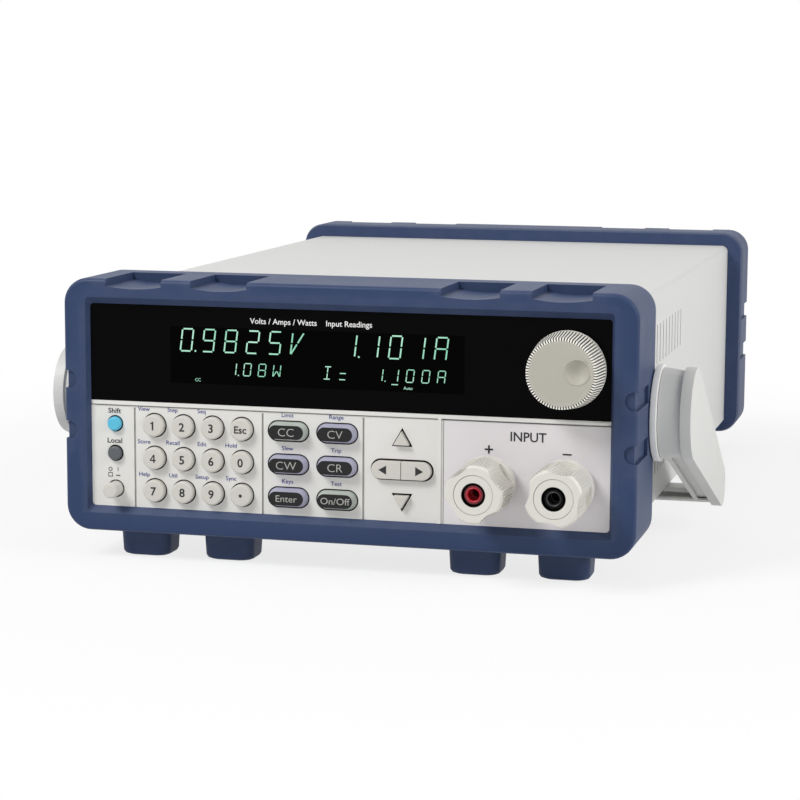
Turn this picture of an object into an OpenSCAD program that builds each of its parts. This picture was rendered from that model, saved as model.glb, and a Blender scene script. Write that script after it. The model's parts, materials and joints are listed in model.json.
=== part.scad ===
// Bench DC electronic load: half-width instrument with a two-part moulded bumper set,
// a keypad front panel, two screw-down input terminals and a swing-round carry handle.
// X runs to the right, Y to the rear, Z up. The feet stand on Z = 0.

/* [Front panel layout] */
// Width of the section with the power, shift and local keys
power_section_w = 18.2; // [16:0.1:24]
// Column pitch of the round keys
key_pitch_x = 12.04; // [11.5:0.01:14]
// Row pitch of all the keys
key_pitch_z = 13.03; // [12:0.01:16]
// Room from a section's edge to the middle of its first round key
keypad_margin = 8.4; // [8:0.1:12]
// Column pitch of the oval keys
oval_pitch_x = 19.7; // [18.5:0.1:24]
// Room from a section's edge to the middle of its first oval key
oval_margin = 10.5; // [9.8:0.1:14]
// Width of the section with the arrow keys
arrow_section_w = 30.85; // [29:0.05:38]
// Pitch of the two input terminals
terminal_pitch = 30.2; // [26:0.1:40]
// Room from the terminal section's left edge to the positive terminal
terminal_left = 18.6; // [16:0.1:26]
// Room from the negative terminal to the right edge of the panel
terminal_right = 16.5; // [14:0.1:24]
// Height of the terminals above the lower edge of the panel
terminal_up = 16.65; // [14:0.05:20]
// Room below the lowest key row
key_low = 7.1; // [6.5:0.1:12]
// Room above the highest key row
key_high = 7.6; // [6.8:0.1:12]
// Height of the raised lip under the display window
lip_h = 1.5; // [1:0.1:3]
// Height of the display window
window_h = 38.45; // [34:0.05:50]
// Width of the lit display behind the window
display_w = 118.2; // [100:0.1:120]
// Height of the lit display
display_h = 22.3; // [18:0.1:24]
// Room from the left edge of the panel to the display
display_left = 33.2; // [25:0.1:40]

/* [Case] */
// Overall depth over both bumpers
body_d = 354.6; // [330:0.1:400]
// Rim of the case hidden at each side of the panel
rim_x = 3.25; // [2.5:0.05:5]
// Rim of the case hidden above and below the panel
rim_z = 3.75; // [3:0.05:6]
// Sheet metal thickness
sheet_t = 1.2; // [0.8:0.1:2]
// Bend radius along the top edges of the cover
case_r = 3; // [2.5:0.1:5]
// Height of the tray's side flanges
tray_flange_h = 12; // [8:1:18]
// Number of vent slots in a row
vent_count = 9; // [5:1:14]
// Pitch of the vent slots
vent_pitch = 8.5; // [6:0.1:10]
// Width of a vent slot
vent_w = 1.8; // [1.2:0.1:3]
// Length of a vent slot
vent_l = 16.2; // [10:0.1:20]
// Height of the upper vent row's middle above the middle of the case
vent_up = 20.8; // [14:0.1:24]
// Drop of the lower vent row's middle below the middle of the case
vent_down = 24.5; // [14:0.1:28]
// Distance of the first vent slot from the front
vent_y = 93; // [80:1:120]

/* [Bumpers] */
// How far a bumper stands out past the case at each side
bumper_side = 7.15; // [5:0.05:10]
// How far a bumper stands out past the case above and below
bumper_over = 6.2; // [5:0.1:9]
// Depth of the front bumper
front_bumper_d = 42; // [36:0.5:50]
// Depth of the rear bumper
rear_bumper_d = 29.6; // [26:0.1:40]
// Depth of the recess behind the rear panel
rear_recess = 15.6; // [12:0.1:20]
// Outer corner radius of a bumper
bumper_r = 10; // [7:0.5:14]
// Rounding of a bumper's outer edge along its depth
edge_r = 2; // [1:0.1:3]
// Rounding of a bumper's outer edge across its face
edge_in = 1.5; // [0.8:0.1:2]
// Slope of the frame round the panel, at the sides
bevel_x = 1.2; // [0.6:0.1:2]
// Slope of the frame round the panel, above and below
bevel_z = 2.6; // [1:0.1:3]
// Setback of the panel behind the bumper's front
panel_y = 2.5; // [2:0.1:4]
// Width of a foot
foot_w = 21; // [16:0.1:22]
// Depth of a foot
foot_d = 18; // [12:0.1:18]
// Height of a foot below the bumper
foot_h = 11.1; // [8:0.1:16]
// Setback of a foot from the bumper's face
foot_set = 8.8; // [6:0.1:9]
// Distance of the outer feet from the side of the case
foot_in = 22.15; // [18:0.05:30]
// Pitch of the inner and outer foot
foot_pitch = 35.1; // [28:0.1:40]
// Width of a stacking pocket above a foot
pocket_w = 23; // [21:0.1:26]
// Length of a stacking pocket in the front bumper
pocket_l = 30; // [20:0.5:32]
// Length of a stacking pocket in the rear bumper
rear_pocket_l = 8; // [6:0.5:14]
// Depth of a pocket at its side walls
pocket_wall = 2.8; // [1:0.1:3]
// Depth of a pocket in the middle of its scoop
pocket_scoop = 3.9; // [3.4:0.1:5]
// Height of a side notch
notch_h = 7.2; // [5:0.1:8]
// Distance of each side notch from the middle of the case
notch_off = 10.1; // [8:0.1:14]
// Depth of a side notch
notch_in = 1.3; // [0.8:0.1:2]
// Length of a side notch
notch_l = 25; // [15:0.5:28]

/* [Keys] */
// Radius of a round key
key_r = 4.4; // [3.8:0.1:4.8]
// How far a round key stands out of the panel
key_out = 2.7; // [2:0.1:4]
// Width of an oval key at the panel
oval_w = 16; // [14:0.1:17]
// Height of an oval key at the panel
oval_h = 7.4; // [6:0.1:8]
// How far an oval key stands out of the panel
oval_out = 3.5; // [2.5:0.1:5]
// Taper of an oval key on each side
oval_taper = 1; // [0.4:0.1:1.5]
// Width of a triangular key hole
arrow_w = 8.3; // [7:0.1:9]
// Height of a triangular key hole
arrow_h = 7.2; // [6:0.1:7.6]
// Distance of each triangle's base from the middle key row
arrow_off = 9.15; // [8.6:0.05:9.4]
// Length of the hole shared by the left and right keys
pill_l = 25; // [20:0.1:26]
// Height of that hole
pill_h = 8.3; // [7:0.1:9]
// How far the arrow keys stand out of the panel
arrow_out = 2.2; // [1.5:0.1:3.5]
// Radius of the shift and local keys
small_r = 2.8; // [2.4:0.1:3.2]
// How far the shift and local keys stand out
small_out = 2; // [1:0.1:3]
// Distance of the small keys from the left edge of the panel
small_x = 10; // [8:0.1:12]
// How far the local key sits above the middle row
local_up = 1.2; // [0:0.1:2]
// Radius of the power button
power_r = 3; // [2.6:0.1:3.4]
// How far the power button stands out
power_out = 7; // [5:0.1:9]
// Travel of the power button
power_travel = 3; // [2:0.1:3.5]
// Travel of the other keys
key_travel = 1; // [0.5:0.1:1.5]
// Side clearance of every key in its hole
key_gap = 0.5; // [0.2:0.05:0.6]

/* [Control knob] */
// Radius of the knob at its rear edge
knob_r = 14.8; // [12:0.1:15.5]
// Radius of the knob at its face
knob_face_r = 13.4; // [11:0.1:14.4]
// Depth of the knob
knob_d = 13.6; // [10:0.1:18]
// Distance of the knob from the right edge of the panel
knob_right = 16.7; // [15.5:0.1:24]
// Radius of the finger dimple in the face
dimple_r = 5.2; // [3:0.1:5.4]
// Distance of the dimple from the middle of the face
dimple_off = 7; // [6:0.1:7.2]
// Radius of the encoder's shaft
shaft_r = 3; // [2.5:0.1:3.5]

/* [Input terminals] */
// Largest radius of a terminal cap
cap_r = 11.1; // [9:0.1:12.5]
// Smallest radius in a cap's finger scallops
cap_waist_r = 9.1; // [8.7:0.1:9.6]
// Radius of the round cut that makes a scallop
scallop_r = 12; // [9:0.5:16]
// How far a cap's face stands out of the panel
cap_out = 26.5; // [24:0.1:32]
// Length of the round collar at the rear of a cap
collar_l = 5.5; // [3:0.1:7]
// Radius of the threaded stud
stud_r = 4; // [3.5:0.1:4.2]
// Radius of the plug hole in a stud
jack_r = 2; // [1.9:0.05:2.1]
// Radius of the ring set into a cap's face
insert_r = 7.5; // [6.8:0.1:8]
// Radius of the plug opening in that ring
insert_hole_r = 4.5; // [4.2:0.1:5]
// Radius of the coloured sleeve round the plug hole
sleeve_r = 3.5; // [3.1:0.05:3.6]

/* [Carry handle] */
// Distance of the pivot behind the front bumper
pivot_back = 2.6; // [0:0.1:6]
// Radius of the round end at the pivot
arm_r = 18.2; // [16.5:0.1:20]
// Radius of the arm's other end
arm_end_r = 8.6; // [7:0.1:10]
// Distance between the two ends of an arm
arm_l = 99.5; // [88:0.5:120]
// Thickness of an arm's outer plate
arm_t = 4.3; // [3:0.1:6]
// Length of the barrel at the pivot
barrel_l = 8.6; // [6:0.1:12]
// Thickness of an arm's inner flange
flange_x = 2; // [1.6:0.1:3.6]
// Distance of the grip bar's front face from the pivot
bar_in = 95.9; // [86:0.1:110]
// Drop of the bar's upper edge below the middle of the arm
bar_drop = 2.9; // [2:0.1:4]
// Clearance of the stowed bar under the case
bar_gap = 0.6; // [0.4:0.1:2]
// Width of the groove along the bar
groove_w = 2.2; // [1:0.1:3]
// Depth of the groove along the bar
groove_d = 4; // [2:0.1:6]
// Radius of the hub disc on the bumper's side
hub_r = 19; // [17:0.1:21]
// Thickness of the hub disc
hub_t = 2.7; // [2:0.1:4]
// Radius of the hub's boss through the bumper
boss_r = 12; // [10:0.1:14]
// Radius of the pivot pin
pin_r = 6; // [4:0.1:7]

/* [Inside] */
// Side of the square cooling fan
fan_w = 60; // [50:1:66]
// Depth of the cooling fan
fan_d = 20; // [15:1:25]
// Distance of the fan's axis from the right side of the case
fan_right = 52; // [48:1:56]
// Number of fan blades
blade_count = 7; // [5:1:9]
// Number of heatsink fins
fin_count = 9; // [6:1:12]
// Pitch of the heatsink fins
fin_pitch = 6.4; // [5:0.1:7]
// Length of a heatsink fin
fin_l = 50; // [40:1:54]
// Depth of the heatsink
sink_d = 190; // [150:1:210]
// Number of power transistors
transistor_count = 8; // [4:1:8]
// Height of the main board above the tray
board_up = 8; // [6:0.5:12]
// Width of the transformer core
core_w = 62; // [50:1:70]
// Height of the transformer core
core_h = 52; // [44:1:58]

/* [Hidden] */
$fn = 64;
hull_fn = 40;
eps = 0.01;
slice_t = 0.05;
foot_r = 4.5;
fit = 0.15;
seat = 0.05;
running = 0.05;
over = 1;
joint_gap = 0.1;
part_gap = 0.2;

panel_t = 3.5;
ledge_t = 1.1;
ledge_in = 3;
window_set = 0.3;
hide = 0.9;
lip_out = 0.5;
lip_line = 0.5;
border_w = 1.3;
line_w = 0.8;
line_d = 0.6;
plate_gap = 0.8;

keypad_w = 3 * key_pitch_x + 2 * keypad_margin;
oval_section_w = oval_pitch_x + 2 * oval_margin;
terminal_w = terminal_left + terminal_pitch + terminal_right;
panel_w = power_section_w + keypad_w + oval_section_w + arrow_section_w + terminal_w;
keys_h = key_low + 2 * key_pitch_z + key_high;
panel_h = keys_h + lip_h + window_h;
case_w = panel_w + 2 * rim_x;
case_h = panel_h + 2 * rim_z;
bumper_w = case_w + 2 * bumper_side;
bumper_h = case_h + 2 * bumper_over;
case_z = foot_h + bumper_over;
mid_z = case_z + case_h / 2;
panel_z = case_z + rim_z;
window_z = panel_z + keys_h + lip_h;
panel_back = panel_y + panel_t;
opening_r = 1.5;

edge_0 = -panel_w / 2;
edge_1 = edge_0 + power_section_w;
edge_2 = edge_1 + keypad_w;
edge_3 = edge_2 + oval_section_w;
edge_4 = edge_3 + arrow_section_w;
edge_5 = panel_w / 2;
row_z = [for (i = [2 : -1 : 0]) panel_z + key_low + i * key_pitch_z];
arrow_x = (edge_3 + edge_4) / 2;
small_key_x = edge_0 + small_x;
pill_key_x = pill_l / 4;
arrow_key_z = arrow_off + arrow_h / 3;

key_edge = 0.5;
split_gap = 0.2;
key_flange = 1;
key_flange_t = 1;
key_seat_y = panel_back + seat;
key_back_y = key_seat_y + key_flange_t;
stop_gap = 0.15;
plunger_r = 1.7;
plunger_l = 0.6;
tact_w = 6;
tact_h = 3.5;
switch_w = 10;
switch_tail = 10;
tip_y = key_back_y + key_travel + stop_gap;
tact_y = tip_y + plunger_l;
board_y = tact_y + tact_h;
board_t = 1.6;
board_margin = 1.5;
post_r = 2.2;

window_t = 2;
window_y = panel_y + window_set;
knob_x = edge_5 - knob_right;
knob_z = window_z + window_h / 2;
knob_gap = 0.8;
knob_y = window_y - knob_gap;
knob_face_y = knob_y - knob_d;
knob_edge = 0.8;
knob_recess_r = 8;
knob_recess_d = 5;
knob_wall = 3;
bushing_r = 4.5;
bushing_l = 3;
encoder_w = 13;
encoder_wall = 1;
encoder_end_y = board_y - encoder_wall;

plus_x = edge_4 + terminal_left;
minus_x = plus_x + terminal_pitch;
terminal_z = panel_z + terminal_up;
cap_face_y = panel_y - cap_out;
collar_out = 2;
collar_in = 0.8;
collar_r = cap_r - collar_in;
cap_gap = 0.3;
cap_back_y = panel_y - collar_out - cap_gap;
cap_edge = 0.8;
insert_l = 6;
insert_set = 0.2;
stud_front = 8.5;
stud_front_y = cap_face_y + stud_front;
sleeve_seat = 3;
sleeve_set = 1;
sleeve_bore = 0.4;
jack_l = 18;
stud_tail = 12;
stud_back_y = panel_back + stud_tail;
nut_r = 7.5;
nut_t = 4;
plus_turn = 35;
minus_turn = 80;

pivot_y = front_bumper_d + pivot_back;
pivot_z = mid_z;
hub_gap = 0.3;
hub_x = bumper_w / 2 + hub_gap;
barrel_x = hub_x + hub_t + part_gap;
plate_x = barrel_x + barrel_l;
arm_x = plate_x + arm_t;
pin_end = 0.4;
tangent_in = 0.03;
web_in = 2.6;
flange_in = 1.2;
barrel_in = 0.3;
barrel_taper = 1.2;
barrel_r = arm_r - barrel_in;
flange_gap = 1.4;
flange_start = barrel_x + flange_gap;
bar_angle = atan2(bar_drop, bar_in);
bar_reach = norm([bar_drop, bar_in]);
rest_angle = asin((case_h / 2 + bar_gap) / bar_reach) - bar_angle;
groove_v = -bar_drop - (arm_end_r - bar_drop) / 2;

sleeve_y = panel_back + joint_gap;
rear_y = body_d - rear_recess;
rear_t = 1.5;
rear_panel_y = rear_y - joint_gap - rear_t;
tray_w = case_w - 2 * (sheet_t + fit);
tray_gap = 3;
tray_y = board_y + board_t + tray_gap;
tray_top = case_z + sheet_t;
tray_back = rear_panel_y - joint_gap;
cover_in_h = case_h - sheet_t - fit;
mid_y = (cap_face_y + body_d) / 2;

fan_x = case_w / 2 - fan_right;
fan_z = mid_z;
fan_y = rear_panel_y - joint_gap - fan_d;
fan_wall = 1.6;
fan_bore_r = fan_w / 2 - fan_wall;
fan_hole_in = 5;
fan_hole = fan_w / 2 - fan_hole_in;
motor_r = 14;
motor_t = 3;
axle_r = 2;
rotor_gap = 0.4;
rotor_set = 1.5;
rotor_wall = 1.5;
rotor_l = fan_d - motor_t - rotor_gap - rotor_set;
blade_t = 1.4;
blade_tilt = 38;
grille_spoke = 3;
grille_ring = 3;
grille_hub_r = 11;
grille_slots = 3;
grille_slot = (fan_bore_r + grille_ring - grille_hub_r) / grille_slots - grille_ring;

sink_base = 6;
fin_t = 1.8;
sink_h = (fin_count - 1) * fin_pitch + fin_t;
sink_x = fan_x - fin_l / 2 - sink_base;
sink_gap = 12;
sink_y = fan_y - sink_gap - sink_d;
sink_z = tray_top + seat;
device_w = 16;
device_h = 20;
device_t = 5;
device_up = 22;
device_pitch = sink_d / transistor_count;
lead_w = 1.2;

main_z = tray_top + board_up;
board_side = 14;
board_end = 34;
device_gap = 3;
main_x0 = -case_w / 2 + board_side;
main_x1 = sink_x - device_t - device_gap;
main_y1 = rear_panel_y - board_end;
main_inset = 8;
standoff_r = 3;

core_side = 18;
core_ahead = 18.4;
core_behind = 20;
core_d = 26;
coil_over = 13;
core_x = -case_w / 2 + core_side;
core_y = board_y + board_t + core_ahead + coil_over;
core_back = core_y + core_d + coil_over;
main_set = 4;
main_y0 = max(sink_y + main_set, core_back + core_behind);
coil_in = 7;
foot_t = 2;
foot_len = 10;

bar_w = 13;
bar_t = 2;
bus_ahead = 22;
bus_y = panel_back + part_gap + nut_t;
bus_turn_y = sink_y - bus_ahead;
bus_step = 10;

inlet_side = 30;
inlet_up = 24;
inlet_x = -case_w / 2 + inlet_side;
inlet_z = case_z + inlet_up;
inlet_w = 30.6;
inlet_h = 23.6;
inlet_flange_t = 2.4;
inlet_body_w = 27.2;
inlet_body_h = 19.8;
inlet_l = 22;
socket_w = 24.4;
socket_h = 16.6;
socket_d = 17;
pin_w = 2;
pin_h = 4;
pin_l = 10.5;
pin_places = [[-7, -2], [0, 2], [7, -2]];
serial_side = 72;
serial_up = 22;
serial_x = -case_w / 2 + serial_side;
serial_z = case_z + serial_up;
serial_w = 31;
serial_h = 12.6;
shell_w = 18;
shell_h = 8.8;
shell_l = 6;
shell_slant = 1;
sense_up = 32;
sense_x = serial_x;
sense_z = serial_z + sense_up;
sense_w = 22;
sense_h = 10;
sense_out = 6;
sense_poles = 4;
cut_gap = 0.3;

screw_head_r = 2.8;
screw_head_t = 1.6;
screw_r = 1.45;
screw_gap = 0.15;
screw_l = 5;
screw_in = 7;

ROUND_KEYS = [
    ["key_1", 0, 0], ["key_2", 1, 0], ["key_3", 2, 0], ["key_escape", 3, 0],
    ["key_4", 0, 1], ["key_5", 1, 1], ["key_6", 2, 1], ["key_0", 3, 1],
    ["key_7", 0, 2], ["key_8", 1, 2], ["key_9", 2, 2], ["key_point", 3, 2]
];
OVAL_KEYS = [
    ["key_cc", 0, 0], ["key_cv", 1, 0],
    ["key_cw", 0, 1], ["key_cr", 1, 1],
    ["key_enter", 0, 2], ["key_on_off", 1, 2]
];
FIXED_NODES = [
    "front_bumper", "rear_bumper", "top_cover", "chassis_tray", "front_panel", "terminal_plate",
    "display_window", "display_tube", "front_board", "key_switches", "encoder_body", "power_switch",
    "terminal_posts", "positive_insulator", "negative_insulator", "bus_bars", "main_board", "heatsink",
    "power_transistors", "fan_frame", "transformer", "rear_panel", "mains_inlet", "serial_port",
    "sense_block", "handle_hubs", "case_screws"
];
MOVING_NODES = [
    "carry_handle", "control_knob", "encoder_shaft", "positive_cap", "positive_insert",
    "negative_cap", "negative_insert", "fan_rotor",
    "key_up", "key_down", "key_left", "key_right", "key_shift", "key_local", "power_button"
];

// Shared placing and shape modules

function round_x(column) = edge_1 + keypad_margin + column * key_pitch_x;
function oval_x(column) = edge_2 + oval_margin + column * oval_pitch_x;

// Moves a piece from the front-face frame to the part's own frame
module placed() {
    translate([0, -mid_y, 0]) children();
}

module along_y(y0, y1) {
    translate([0, y1, 0]) rotate([90, 0, 0]) linear_extrude(height = y1 - y0) children();
}

module along_x(x0, x1) {
    translate([x0, 0, 0]) rotate([90, 0, 90]) linear_extrude(height = x1 - x0) children();
}

module rod_y(r, y0, y1) {
    translate([0, y0, 0]) rotate([-90, 0, 0]) cylinder(r = r, h = y1 - y0);
}

module cone_y(r0, r1, y0, y1) {
    translate([0, y0, 0]) rotate([-90, 0, 0]) cylinder(r1 = r0, r2 = r1, h = y1 - y0);
}

module rod_x(r, x0, x1) {
    translate([x0, 0, 0]) rotate([0, 90, 0]) cylinder(r = r, h = x1 - x0);
}

module cone_x(r0, r1, x0, x1) {
    translate([x0, 0, 0]) rotate([0, 90, 0]) cylinder(r1 = r0, r2 = r1, h = x1 - x0);
}

module both_sides() {
    for (s = [0, 1]) mirror([s, 0, 0]) children();
}

module rounded_rect(w, h, r) {
    square([w - 2 * r, h], center = true);
    square([w, h - 2 * r], center = true);
    for (sx = [-1, 1], sz = [-1, 1])
        translate([sx * (w / 2 - r), sz * (h / 2 - r)]) circle(r = r);
}

module stadium(w, h) {
    square([w - h, h], center = true);
    for (s = [-1, 1]) translate([s * (w - h) / 2, 0]) circle(d = h);
}

// Rectangle standing on y = 0 with only its two upper corners rounded
module arched_rect(w, h, r) {
    translate([-w / 2, 0]) square([w, h - r]);
    translate([-w / 2 + r, 0]) square([w - 2 * r, h]);
    for (s = [-1, 1]) translate([s * (w / 2 - r), h - r]) circle(r = r);
}

// Bumpers

module bumper_slice(y0, y1, inset) {
    translate([0, 0, mid_z])
        along_y(y0, y1)
        rounded_rect(bumper_w - 2 * inset, bumper_h - 2 * inset, bumper_r - inset);
}

module bumper_block(d) {
    hull($fn = hull_fn) {
        for (a = [22.5 : 22.5 : 90])
            bumper_slice(edge_r * (1 - sin(a)), edge_r, edge_in * (1 - cos(a)));
        bumper_slice(edge_r, d - edge_r, 0);
        bumper_slice(edge_r, d, edge_in / 2);
    }
}

module opening_slice(y0, y1, grow) {
    translate([0, 0, panel_z + panel_h / 2])
        along_y(y0, y1)
        rounded_rect(panel_w + 2 * bevel_x * grow, panel_h + 2 * bevel_z * grow, opening_r);
}

module foot_slice(z, inset) {
    translate([0, foot_set + foot_d / 2, z])
        linear_extrude(height = slice_t)
        rounded_rect(foot_w - 2 * inset, foot_d - 2 * inset, foot_r);
}

module foot() {
    draft = 0.5;
    round_z = 1.6;
    hull($fn = hull_fn) {
        foot_slice(0, draft + round_z);
        foot_slice(round_z / 3, draft + round_z / 3);
        foot_slice(round_z, draft);
        foot_slice(foot_h + over, 0);
    }
}

module stacking_pocket(l) {
    top = mid_z + bumper_h / 2;
    sag = pocket_scoop - pocket_wall;
    scoop_r = (pocket_w * pocket_w / 4 + sag * sag) / (2 * sag);
    translate([-pocket_w / 2, -over, top - pocket_wall]) cube([pocket_w, l + over, pocket_wall + over]);
    intersection() {
        translate([0, 0, top - pocket_scoop + scoop_r]) rod_y(scoop_r, -over, l);
        translate([-pocket_w / 2, -over, top - pocket_scoop - over]) cube([pocket_w, l + over, bumper_over]);
    }
}

module side_notch(l) {
    face_d = 1.2;
    side = bumper_w / 2;
    translate([side - notch_in, -over, -notch_h / 2]) cube([notch_in + over, l + over, notch_h]);
    translate([side - edge_in, 0, 0]) rod_y(notch_h / 2, -over, face_d);
}

// One bumper moulding with its face at y = 0, open to the rear, with four feet
module bumper(d, lip_d, pocket_d) {
    rear_wall = 5;
    difference() {
        union() {
            bumper_block(d);
            both_sides() for (i = [0, 1]) translate([case_w / 2 - foot_in - i * foot_pitch, 0, 0]) foot();
        }
        hull($fn = hull_fn) {
            opening_slice(-over, 0, 1);
            opening_slice(-over, panel_y, 0);
        }
        opening_slice(panel_y - over, lip_d + over, 0);
        translate([0, 0, case_z - fit])
            along_y(lip_d, d + over) arched_rect(case_w + 2 * fit, case_h + 2 * fit, case_r);
        both_sides() for (i = [0, 1])
            translate([case_w / 2 - foot_in - i * foot_pitch, 0, 0])
                stacking_pocket(min(pocket_d, d - rear_wall));
        both_sides() for (s = [-1, 1])
            translate([0, 0, mid_z + s * notch_off]) side_notch(min(notch_l, d - rear_wall));
    }
}

module front_bumper() {
    notch_gap = 0.4;
    color("#3d4b70") placed() difference() {
        bumper(front_bumper_d, panel_y, pocket_l);
        both_sides() translate([0, pivot_y, pivot_z]) rod_x(boss_r + notch_gap, case_w / 2 - over, bumper_w);
    }
}

module rear_bumper() {
    color("#3d4b70") placed()
        translate([0, body_d, 0])
        mirror([0, 1, 0])
        bumper(rear_bumper_d, rear_recess, rear_pocket_l);
}

// Case

module vent_row(z) {
    for (i = [0 : vent_count - 1])
        translate([-case_w, vent_y + i * vent_pitch - vent_w / 2, z - vent_l / 2])
            cube([2 * case_w, vent_w, vent_l]);
}

module top_cover() {
    color("#d7d7d5") placed() difference() {
        translate([0, 0, case_z]) along_y(sleeve_y, rear_y - joint_gap) difference() {
            arched_rect(case_w, case_h, case_r);
            translate([0, -over])
                arched_rect(case_w - 2 * sheet_t, case_h - sheet_t + over, case_r - sheet_t);
        }
        vent_row(mid_z + vent_up);
        vent_row(mid_z - vent_down);
        both_sides() translate([0, pivot_y, pivot_z])
            rod_x(pin_r + fit, case_w / 2 - 2 * sheet_t, case_w / 2 + over);
    }
}

module tray_standoffs(r) {
    for (x = [main_x0 + main_inset, main_x1 - main_inset], y = [main_y0 + main_inset, main_y1 - main_inset])
        translate([x, y, tray_top - eps]) cylinder(r = r, h = board_up - seat);
}

module chassis_tray() {
    front_flange_h = 5;
    color("#b9bcbf") placed() {
        translate([0, 0, case_z]) along_y(tray_y, tray_back) difference() {
            translate([-tray_w / 2, 0]) square([tray_w, tray_flange_h]);
            translate([-tray_w / 2 + sheet_t, sheet_t]) square([tray_w - 2 * sheet_t, tray_flange_h]);
        }
        translate([-tray_w / 2, tray_y, case_z]) cube([tray_w, sheet_t, front_flange_h]);
        tray_standoffs(standoff_r);
    }
}

// Front panel

module arrow_outline(gap) {
    side = norm([arrow_w / 2, arrow_h]);
    inner_r = arrow_w * arrow_h / (arrow_w + 2 * side);
    translate([0, inner_r]) scale(1 - gap / inner_r)
        polygon([[-arrow_w / 2, -inner_r], [arrow_w / 2, -inner_r], [0, arrow_h - inner_r]]);
}

// Right half of the pill-shaped hole shared by the left and right keys
module half_pill_outline(gap) {
    r = pill_h / 2 - gap;
    end_x = pill_l / 2 - pill_h / 2;
    translate([split_gap / 2, -r]) square([end_x - split_gap / 2, 2 * r]);
    translate([end_x, 0]) circle(r = r);
}

module key_holes() {
    for (k = ROUND_KEYS) translate([round_x(k[1]), row_z[k[2]]]) circle(r = key_r + key_gap);
    for (k = OVAL_KEYS)
        translate([oval_x(k[1]), row_z[k[2]]]) stadium(oval_w + 2 * key_gap, oval_h + 2 * key_gap);
    translate([arrow_x, row_z[1]]) {
        translate([0, arrow_off]) arrow_outline(0);
        mirror([0, 1]) translate([0, arrow_off]) arrow_outline(0);
        stadium(pill_l, pill_h);
    }
    translate([small_key_x, row_z[0]]) circle(r = small_r + key_gap);
    translate([small_key_x, row_z[1] + local_up]) circle(r = small_r + key_gap);
    translate([small_key_x, row_z[2]]) circle(r = power_r + key_gap);
}

module terminal_outline(gap) {
    x0 = edge_4 + plate_gap;
    translate([x0 + gap, panel_z - hide + gap])
        square([edge_5 + hide - x0 - 2 * gap, keys_h + hide - 2 * gap]);
}

module window_outline(gap) {
    translate([edge_0 - hide + gap, window_z + gap])
        square([panel_w + 2 * hide - 2 * gap, window_h + hide - 2 * gap]);
}

module board_posts() {
    for (x = [edge_1, edge_2, edge_3], z = [row_z[0], row_z[1]])
        translate([x, 0, z - key_pitch_z / 2]) rod_y(post_r, panel_back - eps, board_y - seat);
}

// Fine groove under the lip, across the panel and the terminal plate
module lip_groove() {
    translate([edge_0 - over, panel_y - over, window_z - lip_h - lip_line])
        cube([panel_w + 2 * over, over + line_d, lip_line + eps]);
}

module front_panel() {
    color("#d9d6cf") placed() {
        difference() {
            along_y(panel_y + seat, panel_back) difference() {
                translate([0, mid_z]) rounded_rect(case_w - 2 * fit, case_h - 2 * fit, case_r);
                key_holes();
                terminal_outline(0);
                translate([edge_0 + ledge_in, window_z + ledge_in])
                    square([panel_w - 2 * ledge_in, window_h - 2 * ledge_in]);
            }
            along_y(panel_y - over, panel_back - ledge_t) window_outline(0);
            for (x = [edge_1, edge_2, edge_3])
                translate([x - line_w / 2, panel_y - over, panel_z - over])
                    cube([line_w, over + line_d, keys_h]);
            lip_groove();
        }
        translate([edge_0 + plate_gap, panel_y - lip_out, window_z - lip_h])
            cube([panel_w - 2 * plate_gap, lip_out + over, lip_h - line_w / 2]);
        translate([edge_4 - border_w, panel_y - lip_out, panel_z])
            cube([border_w, lip_out + over, keys_h + lip_h / 2]);
        board_posts();
    }
}

module terminal_plate() {
    rib_w = 3;
    rib_t = 2.5;
    rib_in = 2;
    color("#dedbd9") placed() difference() {
        union() {
            along_y(panel_y + seat, panel_back) terminal_outline(fit);
            for (x = [plus_x, minus_x])
                translate([x, 0, terminal_z]) rod_y(collar_r, panel_y - collar_out, panel_y + over);
            translate([(plus_x + minus_x) / 2 - rib_w / 2, panel_back - eps, panel_z])
                cube([rib_w, rib_t, keys_h - rib_in]);
        }
        for (x = [plus_x, minus_x])
            translate([x, 0, terminal_z]) rod_y(stud_r + fit, panel_y - cap_out, panel_back + over);
        lip_groove();
    }
}

module display_window() {
    color("#0b0b0d") placed() difference() {
        along_y(window_y, panel_back - ledge_t - seat) window_outline(fit);
        translate([knob_x, 0, knob_z]) rod_y(bushing_r + fit, 0, panel_back);
    }
}

module display_tube() {
    border = 4;
    x0 = edge_0 + display_left - border;
    z0 = knob_z - display_h / 2 - border;
    color("#10201c") placed()
        translate([x0, panel_back + part_gap, z0])
        cube([display_w + 2 * border, board_y - panel_back - part_gap - seat, display_h + 2 * border]);
}

module board_outline() {
    x0 = edge_0 + board_margin;
    x1 = edge_5 - board_margin;
    translate([x0, panel_z + board_margin])
        square([edge_4 - board_margin - x0, panel_h - 2 * board_margin]);
    translate([x0, window_z]) square([x1 - x0, window_h - board_margin]);
}

module front_board() {
    color("#2f6b45") placed() along_y(board_y, board_y + board_t) difference() {
        board_outline();
        translate([small_key_x, row_z[2]]) square(switch_w + 2 * fit, center = true);
    }
}

module key_switch_at(x, z) {
    translate([x, 0, z]) {
        translate([-tact_w / 2, tact_y, -tact_w / 2]) cube([tact_w, tact_h - seat, tact_w]);
        rod_y(plunger_r, tip_y, tact_y + eps);
    }
}

module key_switches() {
    color("#26282b") placed() {
        for (k = ROUND_KEYS) key_switch_at(round_x(k[1]), row_z[k[2]]);
        for (k = OVAL_KEYS) key_switch_at(oval_x(k[1]), row_z[k[2]]);
        for (s = [-1, 1]) {
            key_switch_at(arrow_x + s * pill_key_x, row_z[1]);
            key_switch_at(arrow_x, row_z[1] + s * arrow_key_z);
        }
        key_switch_at(small_key_x, row_z[0]);
        key_switch_at(small_key_x, row_z[1] + local_up);
    }
}

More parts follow.
